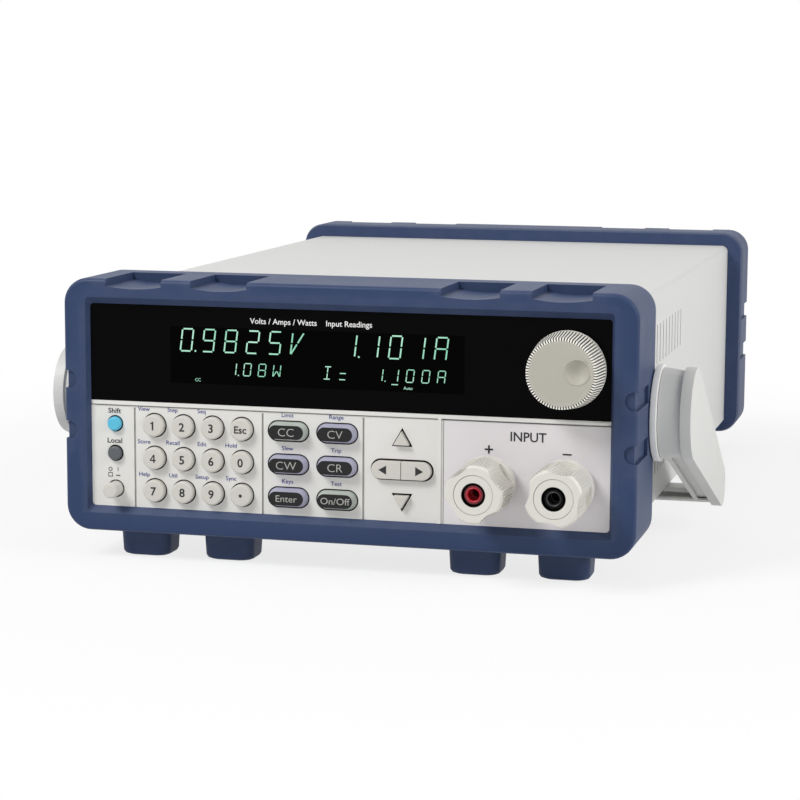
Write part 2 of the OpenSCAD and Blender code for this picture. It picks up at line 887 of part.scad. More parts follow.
module power_switch() {
    front_y = key_back_y + power_travel + stop_gap;
    lug_w = 13;
    lug_t = 1.5;
    color("#1f2124") placed() translate([small_key_x, 0, row_z[2]]) {
        translate([-switch_w / 2, front_y, -switch_w / 2])
            cube([switch_w, board_y + board_t + switch_tail - front_y, switch_w]);
        translate([-lug_w / 2, board_y + board_t + seat, -switch_w / 2]) cube([lug_w, lug_t, switch_w]);
    }
}

// Keys

module key_at(x, z) {
    placed() translate([x, 0, z]) children();
}

module round_key(r, out) {
    face_y = panel_y - out;
    cone_y(r - key_edge, r, face_y, face_y + key_edge);
    rod_y(r, face_y + key_edge - eps, key_back_y);
    rod_y(r + key_flange, key_seat_y, key_back_y);
}

module oval_key() {
    face_y = panel_y - oval_out;
    hull($fn = hull_fn) for (s = [-1, 1])
        translate([s * (oval_w - oval_h) / 2, 0, 0])
            cone_y(oval_h / 2 - oval_taper, oval_h / 2, face_y, panel_y);
    along_y(panel_y - eps, key_back_y) stadium(oval_w, oval_h);
    along_y(key_seat_y, key_back_y) stadium(oval_w + 2 * key_flange, oval_h + 2 * key_flange);
}

module arrow_key() {
    translate([0, 0, arrow_off]) {
        along_y(panel_y - arrow_out, key_back_y) arrow_outline(key_gap);
        along_y(key_seat_y, key_back_y)
            translate([-arrow_w / 2, 0]) square([arrow_w, arrow_h - key_flange]);
    }
}

module pill_key() {
    along_y(panel_y - arrow_out, key_back_y) half_pill_outline(key_gap);
    along_y(key_seat_y, key_back_y)
        translate([split_gap / 2, -pill_h / 2]) square([pill_l / 2 + key_flange - split_gap / 2, pill_h]);
}

module key_up() {
    color("#c9c6c0") key_at(arrow_x, row_z[1]) arrow_key();
}

module key_down() {
    color("#c9c6c0") key_at(arrow_x, row_z[1]) mirror([0, 0, 1]) arrow_key();
}

module key_left() {
    color("#c9c6c0") key_at(arrow_x, row_z[1]) mirror([1, 0, 0]) pill_key();
}

module key_right() {
    color("#c9c6c0") key_at(arrow_x, row_z[1]) pill_key();
}

module key_shift() {
    color("#3fb4cf") key_at(small_key_x, row_z[0]) round_key(small_r, small_out);
}

module key_local() {
    color("#55585c") key_at(small_key_x, row_z[1] + local_up) round_key(small_r, small_out);
}

module power_button() {
    color("#c9c6c0") key_at(small_key_x, row_z[2]) round_key(power_r, power_out);
}

// Knob and encoder

module encoder_body() {
    front_y = panel_back + part_gap;
    color("#9a9c9f") placed() translate([knob_x, 0, knob_z]) difference() {
        union() {
            translate([-encoder_w / 2, front_y, -encoder_w / 2])
                cube([encoder_w, board_y - seat - front_y, encoder_w]);
            rod_y(bushing_r, window_y - bushing_l, front_y + eps);
        }
        rod_y(shaft_r + running, window_y - bushing_l - over, encoder_end_y);
    }
}

module encoder_shaft() {
    color("#a8a9ab") placed()
        translate([knob_x, 0, knob_z])
        rod_y(shaft_r, knob_face_y + knob_wall + seat, encoder_end_y - part_gap);
}

module control_knob() {
    dish_depth = 2.1;
    dish_r = (dimple_r * dimple_r + dish_depth * dish_depth) / (2 * dish_depth);
    dish_turn = 8;
    color("#c9c4b8") placed() translate([knob_x, 0, knob_z]) difference() {
        union() {
            cone_y(knob_face_r - knob_edge, knob_face_r, knob_face_y, knob_face_y + knob_edge);
            cone_y(knob_face_r, knob_r, knob_face_y + knob_edge - eps, knob_y);
        }
        rod_y(knob_recess_r, knob_y - knob_recess_d, knob_y + over);
        rod_y(shaft_r + seat, knob_face_y + knob_wall, knob_y + over);
        rotate([0, -dish_turn, 0])
            translate([dimple_off, knob_face_y - dish_r + dish_depth, 0]) sphere(r = dish_r);
    }
}

// Input terminals

module terminal_posts() {
    color("#c8a24a") placed() for (x = [plus_x, minus_x]) translate([x, 0, terminal_z]) difference() {
        union() {
            rod_y(stud_r, stud_front_y, stud_back_y);
            translate([0, panel_back + seat, 0])
                rotate([-90, 0, 0]) cylinder(r = nut_r, h = nut_t, $fn = 6);
        }
        rod_y(jack_r, stud_front_y - over, stud_front_y + sleeve_seat + jack_l);
        rod_y(sleeve_r + seat, stud_front_y - over, stud_front_y + sleeve_seat);
    }
}

module plug_sleeve() {
    difference() {
        rod_y(sleeve_r, cap_face_y + sleeve_set, stud_front_y + sleeve_seat - seat);
        rod_y(jack_r + sleeve_bore, cap_face_y, stud_front_y + sleeve_seat + over);
    }
}

module positive_insulator() {
    color("#b3202a") placed() translate([plus_x, 0, terminal_z]) plug_sleeve();
}

module negative_insulator() {
    color("#1c1c1e") placed() translate([minus_x, 0, terminal_z]) plug_sleeve();
}

module terminal_cap(turn) {
    scallop_y = cap_back_y - collar_l;
    rotate([0, -turn, 0]) difference() {
        union() {
            cone_y(cap_r - cap_edge, cap_r, cap_face_y, cap_face_y + cap_edge);
            rod_y(cap_r, cap_face_y + cap_edge - eps, cap_back_y);
        }
        for (i = [0 : 3])
            rotate([0, -90 * i, 0])
                translate([cap_waist_r + scallop_r, 0, 0]) rod_y(scallop_r, cap_face_y - over, scallop_y);
        rod_y(stud_r + running, cap_face_y, cap_back_y + over);
        rod_y(insert_r + fit / 2, cap_face_y - over, cap_face_y + insert_set + insert_l + seat);
    }
}

module cap_insert() {
    difference() {
        rod_y(insert_r, cap_face_y + insert_set, cap_face_y + insert_set + insert_l);
        rod_y(insert_hole_r, cap_face_y, cap_face_y + insert_set + insert_l + over);
    }
}

module positive_cap() {
    color("#e2e0dc") placed() translate([plus_x, 0, terminal_z]) terminal_cap(plus_turn);
}

module negative_cap() {
    color("#e2e0dc") placed() translate([minus_x, 0, terminal_z]) terminal_cap(minus_turn);
}

module positive_insert() {
    color("#e6e4e0") placed() translate([plus_x, 0, terminal_z]) cap_insert();
}

module negative_insert() {
    color("#e6e4e0") placed() translate([minus_x, 0, terminal_z]) cap_insert();
}

// Two flat bars from the terminal studs to the edge of the main board
module bus_bars() {
    land_z = main_z + board_t + seat;
    land_x = main_x1 - bar_w;
    color("#b87333") placed() for (i = [0, 1]) {
        x = i == 0 ? plus_x : minus_x;
        y = bus_turn_y + i * bus_step;
        difference() {
            union() {
                translate([x - bar_w / 2, bus_y, terminal_z - bar_w / 2]) cube([bar_w, bar_t, bar_w]);
                translate([x + bar_w / 2 - bar_t, bus_y, terminal_z - bar_w / 2])
                    cube([bar_t, y + bar_t - bus_y, bar_w]);
                translate([land_x, y, terminal_z - bar_w / 2])
                    cube([x + bar_w / 2 - land_x, bar_t, bar_w]);
                translate([land_x, y, land_z]) cube([bar_w, bar_t, terminal_z - land_z]);
                translate([land_x, y, land_z]) cube([bar_w, main_y0 + main_inset / 2 - y, bar_t]);
            }
            translate([x, 0, terminal_z]) rod_y(stud_r + joint_gap, bus_y - over, bus_y + bar_t + over);
        }
    }
}

// Inside of the case

module heatsink() {
    color("#9fa3a6") placed() translate([sink_x, 0, sink_z]) along_y(sink_y, sink_y + sink_d) {
        square([sink_base, sink_h]);
        for (i = [0 : fin_count - 1])
            translate([0, i * fin_pitch]) square([sink_base + fin_l, fin_t]);
    }
}

module power_transistors() {
    device_z = main_z + board_t + device_up;
    color("#232426") placed() for (i = [0 : transistor_count - 1])
        translate([sink_x - seat - device_t, sink_y + (i + 0.5) * device_pitch, device_z]) {
            translate([0, -device_w / 2, -device_h / 2]) cube([device_t, device_w, device_h]);
            for (j = [-1 : 1])
                translate([device_t / 2, j * device_w / 3 - lead_w / 2, -device_up + seat])
                    cube([lead_w, lead_w, device_up - device_h / 2 + over]);
        }
}

module main_board() {
    capacitor_r = 9;
    capacitor_h = 32;
    capacitor_in = 18;
    capacitor_pitch = 24;
    relay = [18, 26, 15];
    relay_in = [14, 40];
    relay_pitch = 34;
    board_gap = 1;
    color("#2f6b45") placed() translate([0, 0, main_z]) {
        translate([main_x0, main_y0, 0]) cube([sink_x - board_gap - main_x0, main_y1 - main_y0, board_t]);
        for (i = [0 : 2])
            translate([main_x0 + capacitor_in + capacitor_pitch * i, main_y1 - capacitor_pitch, 0])
                cylinder(r = capacitor_r, h = board_t + capacitor_h);
        for (i = [0 : 1])
            translate([main_x0 + relay_in[0] + relay_pitch * i, main_y0 + relay_in[1], board_t - eps])
                cube(relay);
    }
}

module transformer() {
    color("#6f6a62") placed() translate([core_x, core_y, tray_top + seat]) {
        cube([core_w, core_d, core_h]);
        translate([coil_in, -coil_over, coil_in])
            cube([core_w - 2 * coil_in, core_d + 2 * coil_over, core_h - 2 * coil_in]);
        for (x = [-foot_len + eps, core_w - eps]) translate([x, 0, 0]) cube([foot_len, core_d, foot_t]);
    }
}

module fan_frame() {
    motor_y = fan_y + fan_d - motor_t;
    axle_y = motor_y - rotor_gap - rotor_l + rotor_wall + part_gap;
    strut_w = 4;
    strut_in = 0.5;
    mount_r = 2.1;
    corner_r = 4;
    color("#2a2c2f") placed() translate([fan_x, 0, fan_z]) {
        along_y(fan_y, fan_y + fan_d) difference() {
            rounded_rect(fan_w, fan_w, corner_r);
            circle(r = fan_bore_r);
            for (sx = [-1, 1], sz = [-1, 1]) translate([sx * fan_hole, sz * fan_hole]) circle(r = mount_r);
        }
        along_y(motor_y, fan_y + fan_d) {
            circle(r = motor_r);
            intersection() {
                circle(r = fan_bore_r + strut_in);
                for (a = [45, 135]) rotate(a) square([fan_w * 2, strut_w], center = true);
            }
        }
        rod_y(axle_r, axle_y, motor_y + eps);
    }
}

module fan_rotor() {
    tip_gap = 1;
    blade_in = 1;
    back = fan_y + fan_d - motor_t - rotor_gap;
    front = back - rotor_l;
    middle = (front + back) / 2;
    color("#1e2022") placed() translate([fan_x, 0, fan_z]) difference() {
        union() {
            rod_y(motor_r, front, back);
            intersection() {
                rod_y(fan_bore_r - tip_gap, front + blade_in, back - blade_in);
                for (i = [0 : blade_count - 1])
                    rotate([0, i * 360 / blade_count, 0])
                        translate([motor_r - blade_in, middle, 0])
                        rotate([blade_tilt, 0, 0])
                        translate([0, -rotor_l, -blade_t / 2])
                        cube([fan_w / 2, 2 * rotor_l, blade_t]);
            }
        }
        rod_y(axle_r + running, front + rotor_wall, back + over);
    }
}

// Rear panel and what is set into it

module rear_screw_places() {
    for (sx = [-1, 1], sz = [-1, 1])
        translate([sx * (tray_w / 2 - screw_in), 0, mid_z + sz * (cover_in_h / 2 - screw_in)]) children();
}

module grille() {
    difference() {
        for (i = [0 : grille_slots - 1]) {
            inner_r = grille_hub_r + i * (grille_slot + grille_ring);
            difference() {
                circle(r = inner_r + grille_slot);
                circle(r = inner_r);
            }
        }
        for (a = [0, 90]) rotate(a) square([2 * fan_w, grille_spoke], center = true);
    }
}

module rear_panel() {
    color("#c4c6c8") placed() difference() {
        along_y(rear_panel_y, rear_panel_y + rear_t) difference() {
            translate([0, case_z]) arched_rect(tray_w, cover_in_h, case_r - sheet_t);
            translate([fan_x, fan_z]) grille();
            translate([inlet_x, inlet_z])
                square([inlet_body_w + 2 * cut_gap, inlet_body_h + 2 * cut_gap], center = true);
            translate([serial_x, serial_z])
                square([shell_w + 2 * cut_gap, shell_h + 2 * cut_gap], center = true);
            translate([sense_x, sense_z])
                square([sense_w + 2 * cut_gap, sense_h + 2 * cut_gap], center = true);
        }
        rear_screw_places() rod_y(screw_r + screw_gap, rear_panel_y - over, rear_y + over);
    }
}

module mains_inlet() {
    back = rear_y - joint_gap + seat;
    face = back + inlet_flange_t;
    flange_r = 2;
    body_r = 3;
    socket_r = 2.5;
    color("#1b1c1e") placed() translate([inlet_x, 0, inlet_z]) {
        difference() {
            union() {
                along_y(back, face) rounded_rect(inlet_w, inlet_h, flange_r);
                along_y(face - inlet_l, back + eps) rounded_rect(inlet_body_w, inlet_body_h, body_r);
            }
            along_y(face - socket_d, face + over) rounded_rect(socket_w, socket_h, socket_r);
        }
        for (p = pin_places)
            translate([p[0] - pin_w / 2, face - socket_d - eps, p[1] - pin_h / 2])
                cube([pin_w, pin_l, pin_h]);
    }
}

module serial_port() {
    back = rear_panel_y - seat;
    body_l = 10;
    body_out = 1;
    flange_t = 1;
    flange_r = 1.5;
    color("#8f9397") placed() translate([serial_x, 0, serial_z]) {
        along_y(back - flange_t, back) rounded_rect(serial_w, serial_h, flange_r);
        along_y(back - body_l, back - flange_t + eps)
            square([shell_w + 2 * body_out, shell_h + 2 * body_out], center = true);
        along_y(back - eps, rear_y + shell_l) polygon([
            [-shell_w / 2, shell_h / 2],
            [shell_w / 2, shell_h / 2],
            [shell_w / 2 - shell_slant, -shell_h / 2],
            [-shell_w / 2 + shell_slant, -shell_h / 2]
        ]);
    }
}

module sense_block() {
    back = rear_panel_y - seat;
    body_l = 10;
    lip = 1.5;
    hole_r = 1.6;
    hole_d = 8;
    pole_w = sense_w / sense_poles;
    color("#3c7a4c") placed() translate([sense_x, 0, sense_z]) difference() {
        union() {
            along_y(back - body_l, back) square([sense_w + 2 * lip, sense_h + 2 * lip], center = true);
            along_y(back - eps, rear_y + sense_out) square([sense_w, sense_h], center = true);
        }
        for (i = [0 : sense_poles - 1])
            translate([(i + 0.5) * pole_w - sense_w / 2, 0, 0])
                rod_y(hole_r, rear_y + sense_out - hole_d, rear_y + sense_out + over);
    }
}

// Handle

module handle_hubs() {
    color("#ecebe8") placed() both_sides() translate([0, pivot_y, pivot_z]) {
        rod_x(boss_r, case_w / 2 + seat, hub_x + eps);
        rod_x(hub_r, hub_x, hub_x + hub_t);
        rod_x(pin_r, hub_x, plate_x - pin_end);
    }
}

// Outline of an arm in its own plane, from the pivot along +x, drawn in by inset
module arm_outline(inset) {
    r0 = arm_r - inset;
    r1 = arm_end_r - inset;
    tangent = asin((r0 - r1) / arm_l);
    side0 = (r0 - tangent_in) * [sin(tangent), cos(tangent)];
    side1 = (r1 - tangent_in) * [sin(tangent), cos(tangent)] + [arm_l, 0];
    circle(r = r0);
    translate([arm_l, 0]) circle(r = r1);
    polygon([side0, side1, [side1[0], -side1[1]], [side0[0], -side0[1]]]);
}

// Cross-section of the grip bar: the part of the arm's end that clears the case above it
module bar_outline() {
    reach = arm_l + arm_end_r - bar_in;
    top_v = reach * tan(rest_angle) - bar_drop;
    difference() {
        intersection() {
            arm_outline(flange_in);
            polygon([
                [bar_in, -arm_r],
                [bar_in, -bar_drop],
                [bar_in + reach, top_v],
                [bar_in + reach, -arm_r]
            ]);
        }
        translate([bar_in - over, groove_v - groove_w / 2]) square([groove_d + over, groove_w]);
    }
}

module carry_handle() {
    color("#d5d5d2") placed() translate([0, pivot_y, pivot_z]) rotate([-rest_angle, 0, 0]) {
        both_sides() difference() {
            union() {
                along_x(plate_x, arm_x) arm_outline(0);
                cone_x(barrel_r, barrel_r - barrel_taper, barrel_x, plate_x + eps);
                along_x(flange_start + flange_x - eps, plate_x + eps) arm_outline(web_in);
                along_x(flange_start, flange_start + flange_x) arm_outline(flange_in);
            }
            rod_x(pin_r + running, barrel_x - over, plate_x);
        }
        along_x(-plate_x - eps, plate_x + eps) bar_outline();
    }
}

module case_screws() {
    color("#7d8083") placed() rear_screw_places() {
        rod_y(screw_head_r, rear_y - joint_gap + seat, rear_y + screw_head_t);
        rod_y(screw_r, rear_panel_y - screw_l, rear_y);
    }
}

front_bumper();
rear_bumper();
top_cover();
chassis_tray();
front_panel();
terminal_plate();
display_window();
display_tube();
front_board();
key_switches();
encoder_body();
power_switch();
terminal_posts();
positive_insulator();
negative_insulator();
bus_bars();
main_board();
heatsink();
power_transistors();
fan_frame();
transformer();
rear_panel();
mains_inlet();
serial_port();
sense_block();
handle_hubs();
case_screws();
carry_handle();
control_knob();
encoder_shaft();
positive_cap();
positive_insert();
negative_cap();
negative_insert();
fan_rotor();
key_up();
key_down();
key_left();
key_right();
key_shift();
key_local();
power_button();
for (k = ROUND_KEYS)
    color("#cfccc6") key_at(round_x(k[1]), row_z[k[2]]) round_key(key_r, key_out);
for (k = OVAL_KEYS)
    color("#b9b6c9") key_at(oval_x(k[1]), row_z[k[2]]) oval_key();
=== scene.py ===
# %% [markdown]
# A bench DC electronic load, dressed over its CAD frame.
# The frame already has the right sizes and joints, so this lesson only adds looks: softened edges,
# knob teeth, printed legends, a lit display and procedural finishes. Each cell prints what it made,
# so the script can be followed from top to bottom.

# %% Load the frame
import json
import math

import bmesh
import bpy
from mathutils import Matrix, Vector

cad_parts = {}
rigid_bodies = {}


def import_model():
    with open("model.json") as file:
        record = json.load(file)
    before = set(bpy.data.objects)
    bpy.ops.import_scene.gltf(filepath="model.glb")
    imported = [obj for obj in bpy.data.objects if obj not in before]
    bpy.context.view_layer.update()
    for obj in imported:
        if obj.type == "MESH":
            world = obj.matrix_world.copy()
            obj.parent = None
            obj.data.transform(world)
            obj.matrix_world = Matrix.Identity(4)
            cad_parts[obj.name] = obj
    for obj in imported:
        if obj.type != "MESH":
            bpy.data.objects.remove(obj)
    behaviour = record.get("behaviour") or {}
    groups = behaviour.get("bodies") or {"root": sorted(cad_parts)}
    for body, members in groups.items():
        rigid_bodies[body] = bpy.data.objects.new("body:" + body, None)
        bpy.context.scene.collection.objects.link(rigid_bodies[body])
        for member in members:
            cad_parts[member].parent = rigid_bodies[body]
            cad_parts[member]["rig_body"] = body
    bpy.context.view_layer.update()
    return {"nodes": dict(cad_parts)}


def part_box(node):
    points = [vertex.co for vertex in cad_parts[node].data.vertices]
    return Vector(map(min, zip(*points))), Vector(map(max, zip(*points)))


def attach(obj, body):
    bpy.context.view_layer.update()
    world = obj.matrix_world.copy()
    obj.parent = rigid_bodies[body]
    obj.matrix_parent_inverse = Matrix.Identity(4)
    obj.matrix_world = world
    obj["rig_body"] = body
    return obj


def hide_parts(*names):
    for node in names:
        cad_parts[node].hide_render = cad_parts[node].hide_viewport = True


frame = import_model()
nodes = frame["nodes"]

# %% [markdown]
# Blender works in metres here, while the instrument is easier to think of in millimetres.
# Places could be typed in as numbers, but most are read from a CAD node's box instead, so the dressing
# follows the frame if it is packed again.

# %% Measures taken from the frame
MM = 0.001
WINDOW_SETBACK = 0.3 * MM
DISPLAY_BORDER = 4 * MM


def middle_of(node):
    low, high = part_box(node)
    return (low + high) / 2


window_low, window_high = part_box("display_window")
window_face_y = window_low.y
panel_face_y = window_face_y - WINDOW_SETBACK
tube_low, tube_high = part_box("display_tube")
screen_low = Vector((tube_low.x + DISPLAY_BORDER, window_face_y, tube_low.z + DISPLAY_BORDER))
screen_high = Vector((tube_high.x - DISPLAY_BORDER, window_face_y, tube_high.z - DISPLAY_BORDER))
print("panel face at y =", round(panel_face_y / MM, 2), "mm, screen",
      [round(v / MM, 1) for v in (screen_high - screen_low)], "mm")

# %% [markdown]
# Colours are noted the way a picture editor shows them, 0 to 255.
# Shaders need linear light, so one helper turns the noted colour into the value for a socket.

# %% Colour helper


def shade(red, green, blue):
    def linear(value):
        value = value / 255
        return value / 12.92 if value <= 0.04045 else ((value + 0.055) / 1.055) ** 2.4
    return (linear(red), linear(green), linear(blue), 1.0)


print("mid grey 188 is", round(shade(188, 188, 188)[0], 3), "in linear light")

# %% [markdown]
# Shader nodes are wired in many places below, and every link takes a line of its own.
# A few helpers keep that short: a Math node that takes numbers or sockets, a noise that reads Object
# coordinates so that its grain has a real size, and the start of a node group with named sockets.

# %% Node helpers
COLOUR_SOCKETS = ("Colour", "Pale")


def wire(tree, out_socket, in_socket):
    tree.links.new(out_socket, in_socket)


def feed(tree, value, in_socket):
    if isinstance(value, (int, float)):
        in_socket.default_value = value
    else:
        wire(tree, value, in_socket)


def maths(tree, operation, *values):
    step = tree.nodes.new("ShaderNodeMath")
    step.operation = operation
    for value, in_socket in zip(values, step.inputs):
        feed(tree, value, in_socket)
    return step.outputs[0]


def object_noise(tree, scale, detail):
    place = tree.nodes.new("ShaderNodeTexCoord")
    noise = tree.nodes.new("ShaderNodeTexNoise")
    wire(tree, place.outputs["Object"], noise.inputs["Vector"])
    feed(tree, scale, noise.inputs["Scale"])
    feed(tree, detail, noise.inputs["Detail"])
    return noise.outputs["Fac"]


def start_group(name, inputs, outputs):
    tree = bpy.data.node_groups.new(name, "ShaderNodeTree")
    for way, titles in (("INPUT", inputs), ("OUTPUT", outputs)):
        for title in titles:
            kind = "NodeSocketColor" if title in COLOUR_SOCKETS else "NodeSocketFloat"
            tree.interface.new_socket(name=title, in_out=way, socket_type=kind)
    return tree, tree.nodes.new("NodeGroupInput"), tree.nodes.new("NodeGroupOutput")


print("sockets that hold a colour:", COLOUR_SOCKETS)

# %% [markdown]
# Moulded plastic and powder coat share one thing: a fine pebbled skin with slow drifts of tone.
# It could be drawn anew in each material, but a node group is built once and placed in all of them.
# It puts out a colour, a roughness and a height for a Bump node.

# %% Shared group: pebbled skin
DRIFT_SCALE = 28.0
PEBBLE_SHARE = 0.6


def make_pebbled_skin():
    tree, given, result = start_group(
        "pebbled_skin", ("Colour", "Pebbles per Metre", "Tone Drift", "Roughness", "Roughness Drift"),
        ("Colour", "Roughness", "Height"))
    pebbles = object_noise(tree, given.outputs["Pebbles per Metre"], 2.0)
    drift = object_noise(tree, DRIFT_SCALE, 4.0)
    drift_centred = maths(tree, "SUBTRACT", drift, 0.5)
    pebbles_centred = maths(tree, "SUBTRACT", pebbles, 0.5)
    both = maths(tree, "MULTIPLY_ADD", pebbles_centred, PEBBLE_SHARE, drift_centred)
    tone = maths(tree, "MULTIPLY_ADD", both, given.outputs["Tone Drift"], 1.0)
    tint = tree.nodes.new("ShaderNodeVectorMath")
    tint.operation = "SCALE"
    wire(tree, given.outputs["Colour"], tint.inputs[0])
    wire(tree, tone, tint.inputs["Scale"])
    wire(tree, tint.outputs[0], result.inputs["Colour"])
    rough = maths(tree, "MULTIPLY_ADD", both, given.outputs["Roughness Drift"], given.outputs["Roughness"])
    wire(tree, rough, result.inputs["Roughness"])
    wire(tree, pebbles, result.inputs["Height"])
    return tree


pebbled_skin = make_pebbled_skin()
print("made group", pebbled_skin.name)

# %% [markdown]
# A used instrument gathers a little dust on what faces up, and its moulded edges rub pale. The pale edges are
# also a painted highlight, standing for the light that rounded edges catch. Both are masks: dust looks at the
# face's own direction, and the pale edges look at how convex the surface is. They live in a second group that
# mixes a pale colour over the skin, so each finish sets its own amount.

# %% Shared group: dust, and rubbed edges with painted highlight
SPECK_SCALE = 140.0
RIDGE_START = 0.52
RIDGE_GAIN = 6.0
MIX_FACTOR, MIX_FIRST, MIX_SECOND, MIX_RESULT = 0, 6, 7, 2


def make_use_marks():
    tree, given, result = start_group("use_marks", ("Colour", "Pale", "Dust", "Edge Rub and Highlight"), ("Colour",))
    surface = tree.nodes.new("ShaderNodeNewGeometry")
    split = tree.nodes.new("ShaderNodeSeparateXYZ")
    wire(tree, surface.outputs["Normal"], split.inputs[0])
    specks = object_noise(tree, SPECK_SCALE, 6.0)
    dust = maths(tree, "MAXIMUM", split.outputs["Z"], 0.0)
    dust = maths(tree, "MULTIPLY", dust, specks)
    dust = maths(tree, "MULTIPLY", dust, given.outputs["Dust"])
    # Convex edges turn pale: partly rubbed wear, partly a painted highlight where the edge would catch the
    # light.
    edge_rub_and_highlight = maths(tree, "SUBTRACT", surface.outputs["Pointiness"], RIDGE_START)
    edge_rub_and_highlight = maths(tree, "MULTIPLY", edge_rub_and_highlight, RIDGE_GAIN)
    edge_rub_and_highlight = maths(tree, "MAXIMUM", edge_rub_and_highlight, 0.0)
    edge_rub_and_highlight = maths(tree, "MINIMUM", edge_rub_and_highlight, 1.0)
    edge_rub_and_highlight = maths(tree, "MULTIPLY", edge_rub_and_highlight, specks)
    edge_rub_and_highlight = maths(tree, "MULTIPLY", edge_rub_and_highlight, given.outputs["Edge Rub and Highlight"])
    blend = tree.nodes.new("ShaderNodeMix")
    blend.data_type = "RGBA"
    blend.clamp_factor = True
    wire(tree, maths(tree, "ADD", dust, edge_rub_and_highlight), blend.inputs[MIX_FACTOR])
    wire(tree, given.outputs["Colour"], blend.inputs[MIX_FIRST])
    wire(tree, given.outputs["Pale"], blend.inputs[MIX_SECOND])
    wire(tree, blend.outputs[MIX_RESULT], result.inputs["Colour"])
    return tree


use_marks = make_use_marks()
print("made group", use_marks.name)

# %% [markdown]
# Every finish is the same short recipe: skin group, then dust and pale edges that are part wear and part
# painted highlight, then one Principled shader.
# A value that is the same all over the piece, such as metallic or specular level, is typed on the shader's
# own socket, because that is where an exporter looks for it.

# %% Finish recipe
BUMP_DISTANCE = 0.4 * MM
PALE_SHARE = 0.45


def place_group(tree, group, values):
    placed = tree.nodes.new("ShaderNodeGroup")
    placed.node_tree = group
    for title, value in values.items():
        placed.inputs[title].default_value = value
    return placed


def finish(name, colour, roughness, pebbles, bump, tone, drift, dust, rub_and_sheen, metallic=0.0, specular=0.5):
    material = bpy.data.materials.new(name)
    material.use_nodes = True
    tree = material.node_tree
    shader = tree.nodes["Principled BSDF"]
    pale = [PALE_SHARE + (1 - PALE_SHARE) * part for part in colour[:3]] + [1.0]
    skin = place_group(tree, pebbled_skin, {"Colour": colour, "Pebbles per Metre": pebbles,
                                            "Tone Drift": tone, "Roughness": roughness,
                                            "Roughness Drift": drift})
    marks = place_group(tree, use_marks, {"Pale": pale, "Dust": dust, "Edge Rub and Highlight": rub_and_sheen})
    wire(tree, skin.outputs["Colour"], marks.inputs["Colour"])
    wire(tree, marks.outputs["Colour"], shader.inputs["Base Color"])
    wire(tree, skin.outputs["Roughness"], shader.inputs["Roughness"])
    bumps = tree.nodes.new("ShaderNodeBump")
    bumps.inputs["Strength"].default_value = bump
    bumps.inputs["Distance"].default_value = BUMP_DISTANCE
    wire(tree, skin.outputs["Height"], bumps.inputs["Height"])
    wire(tree, bumps.outputs["Normal"], shader.inputs["Normal"])
    shader.inputs["Metallic"].default_value = metallic
    shader.inputs["Specular IOR Level"].default_value = specular
    return material


print("pebbles stand", round(BUMP_DISTANCE / MM, 2), "mm high at full strength")
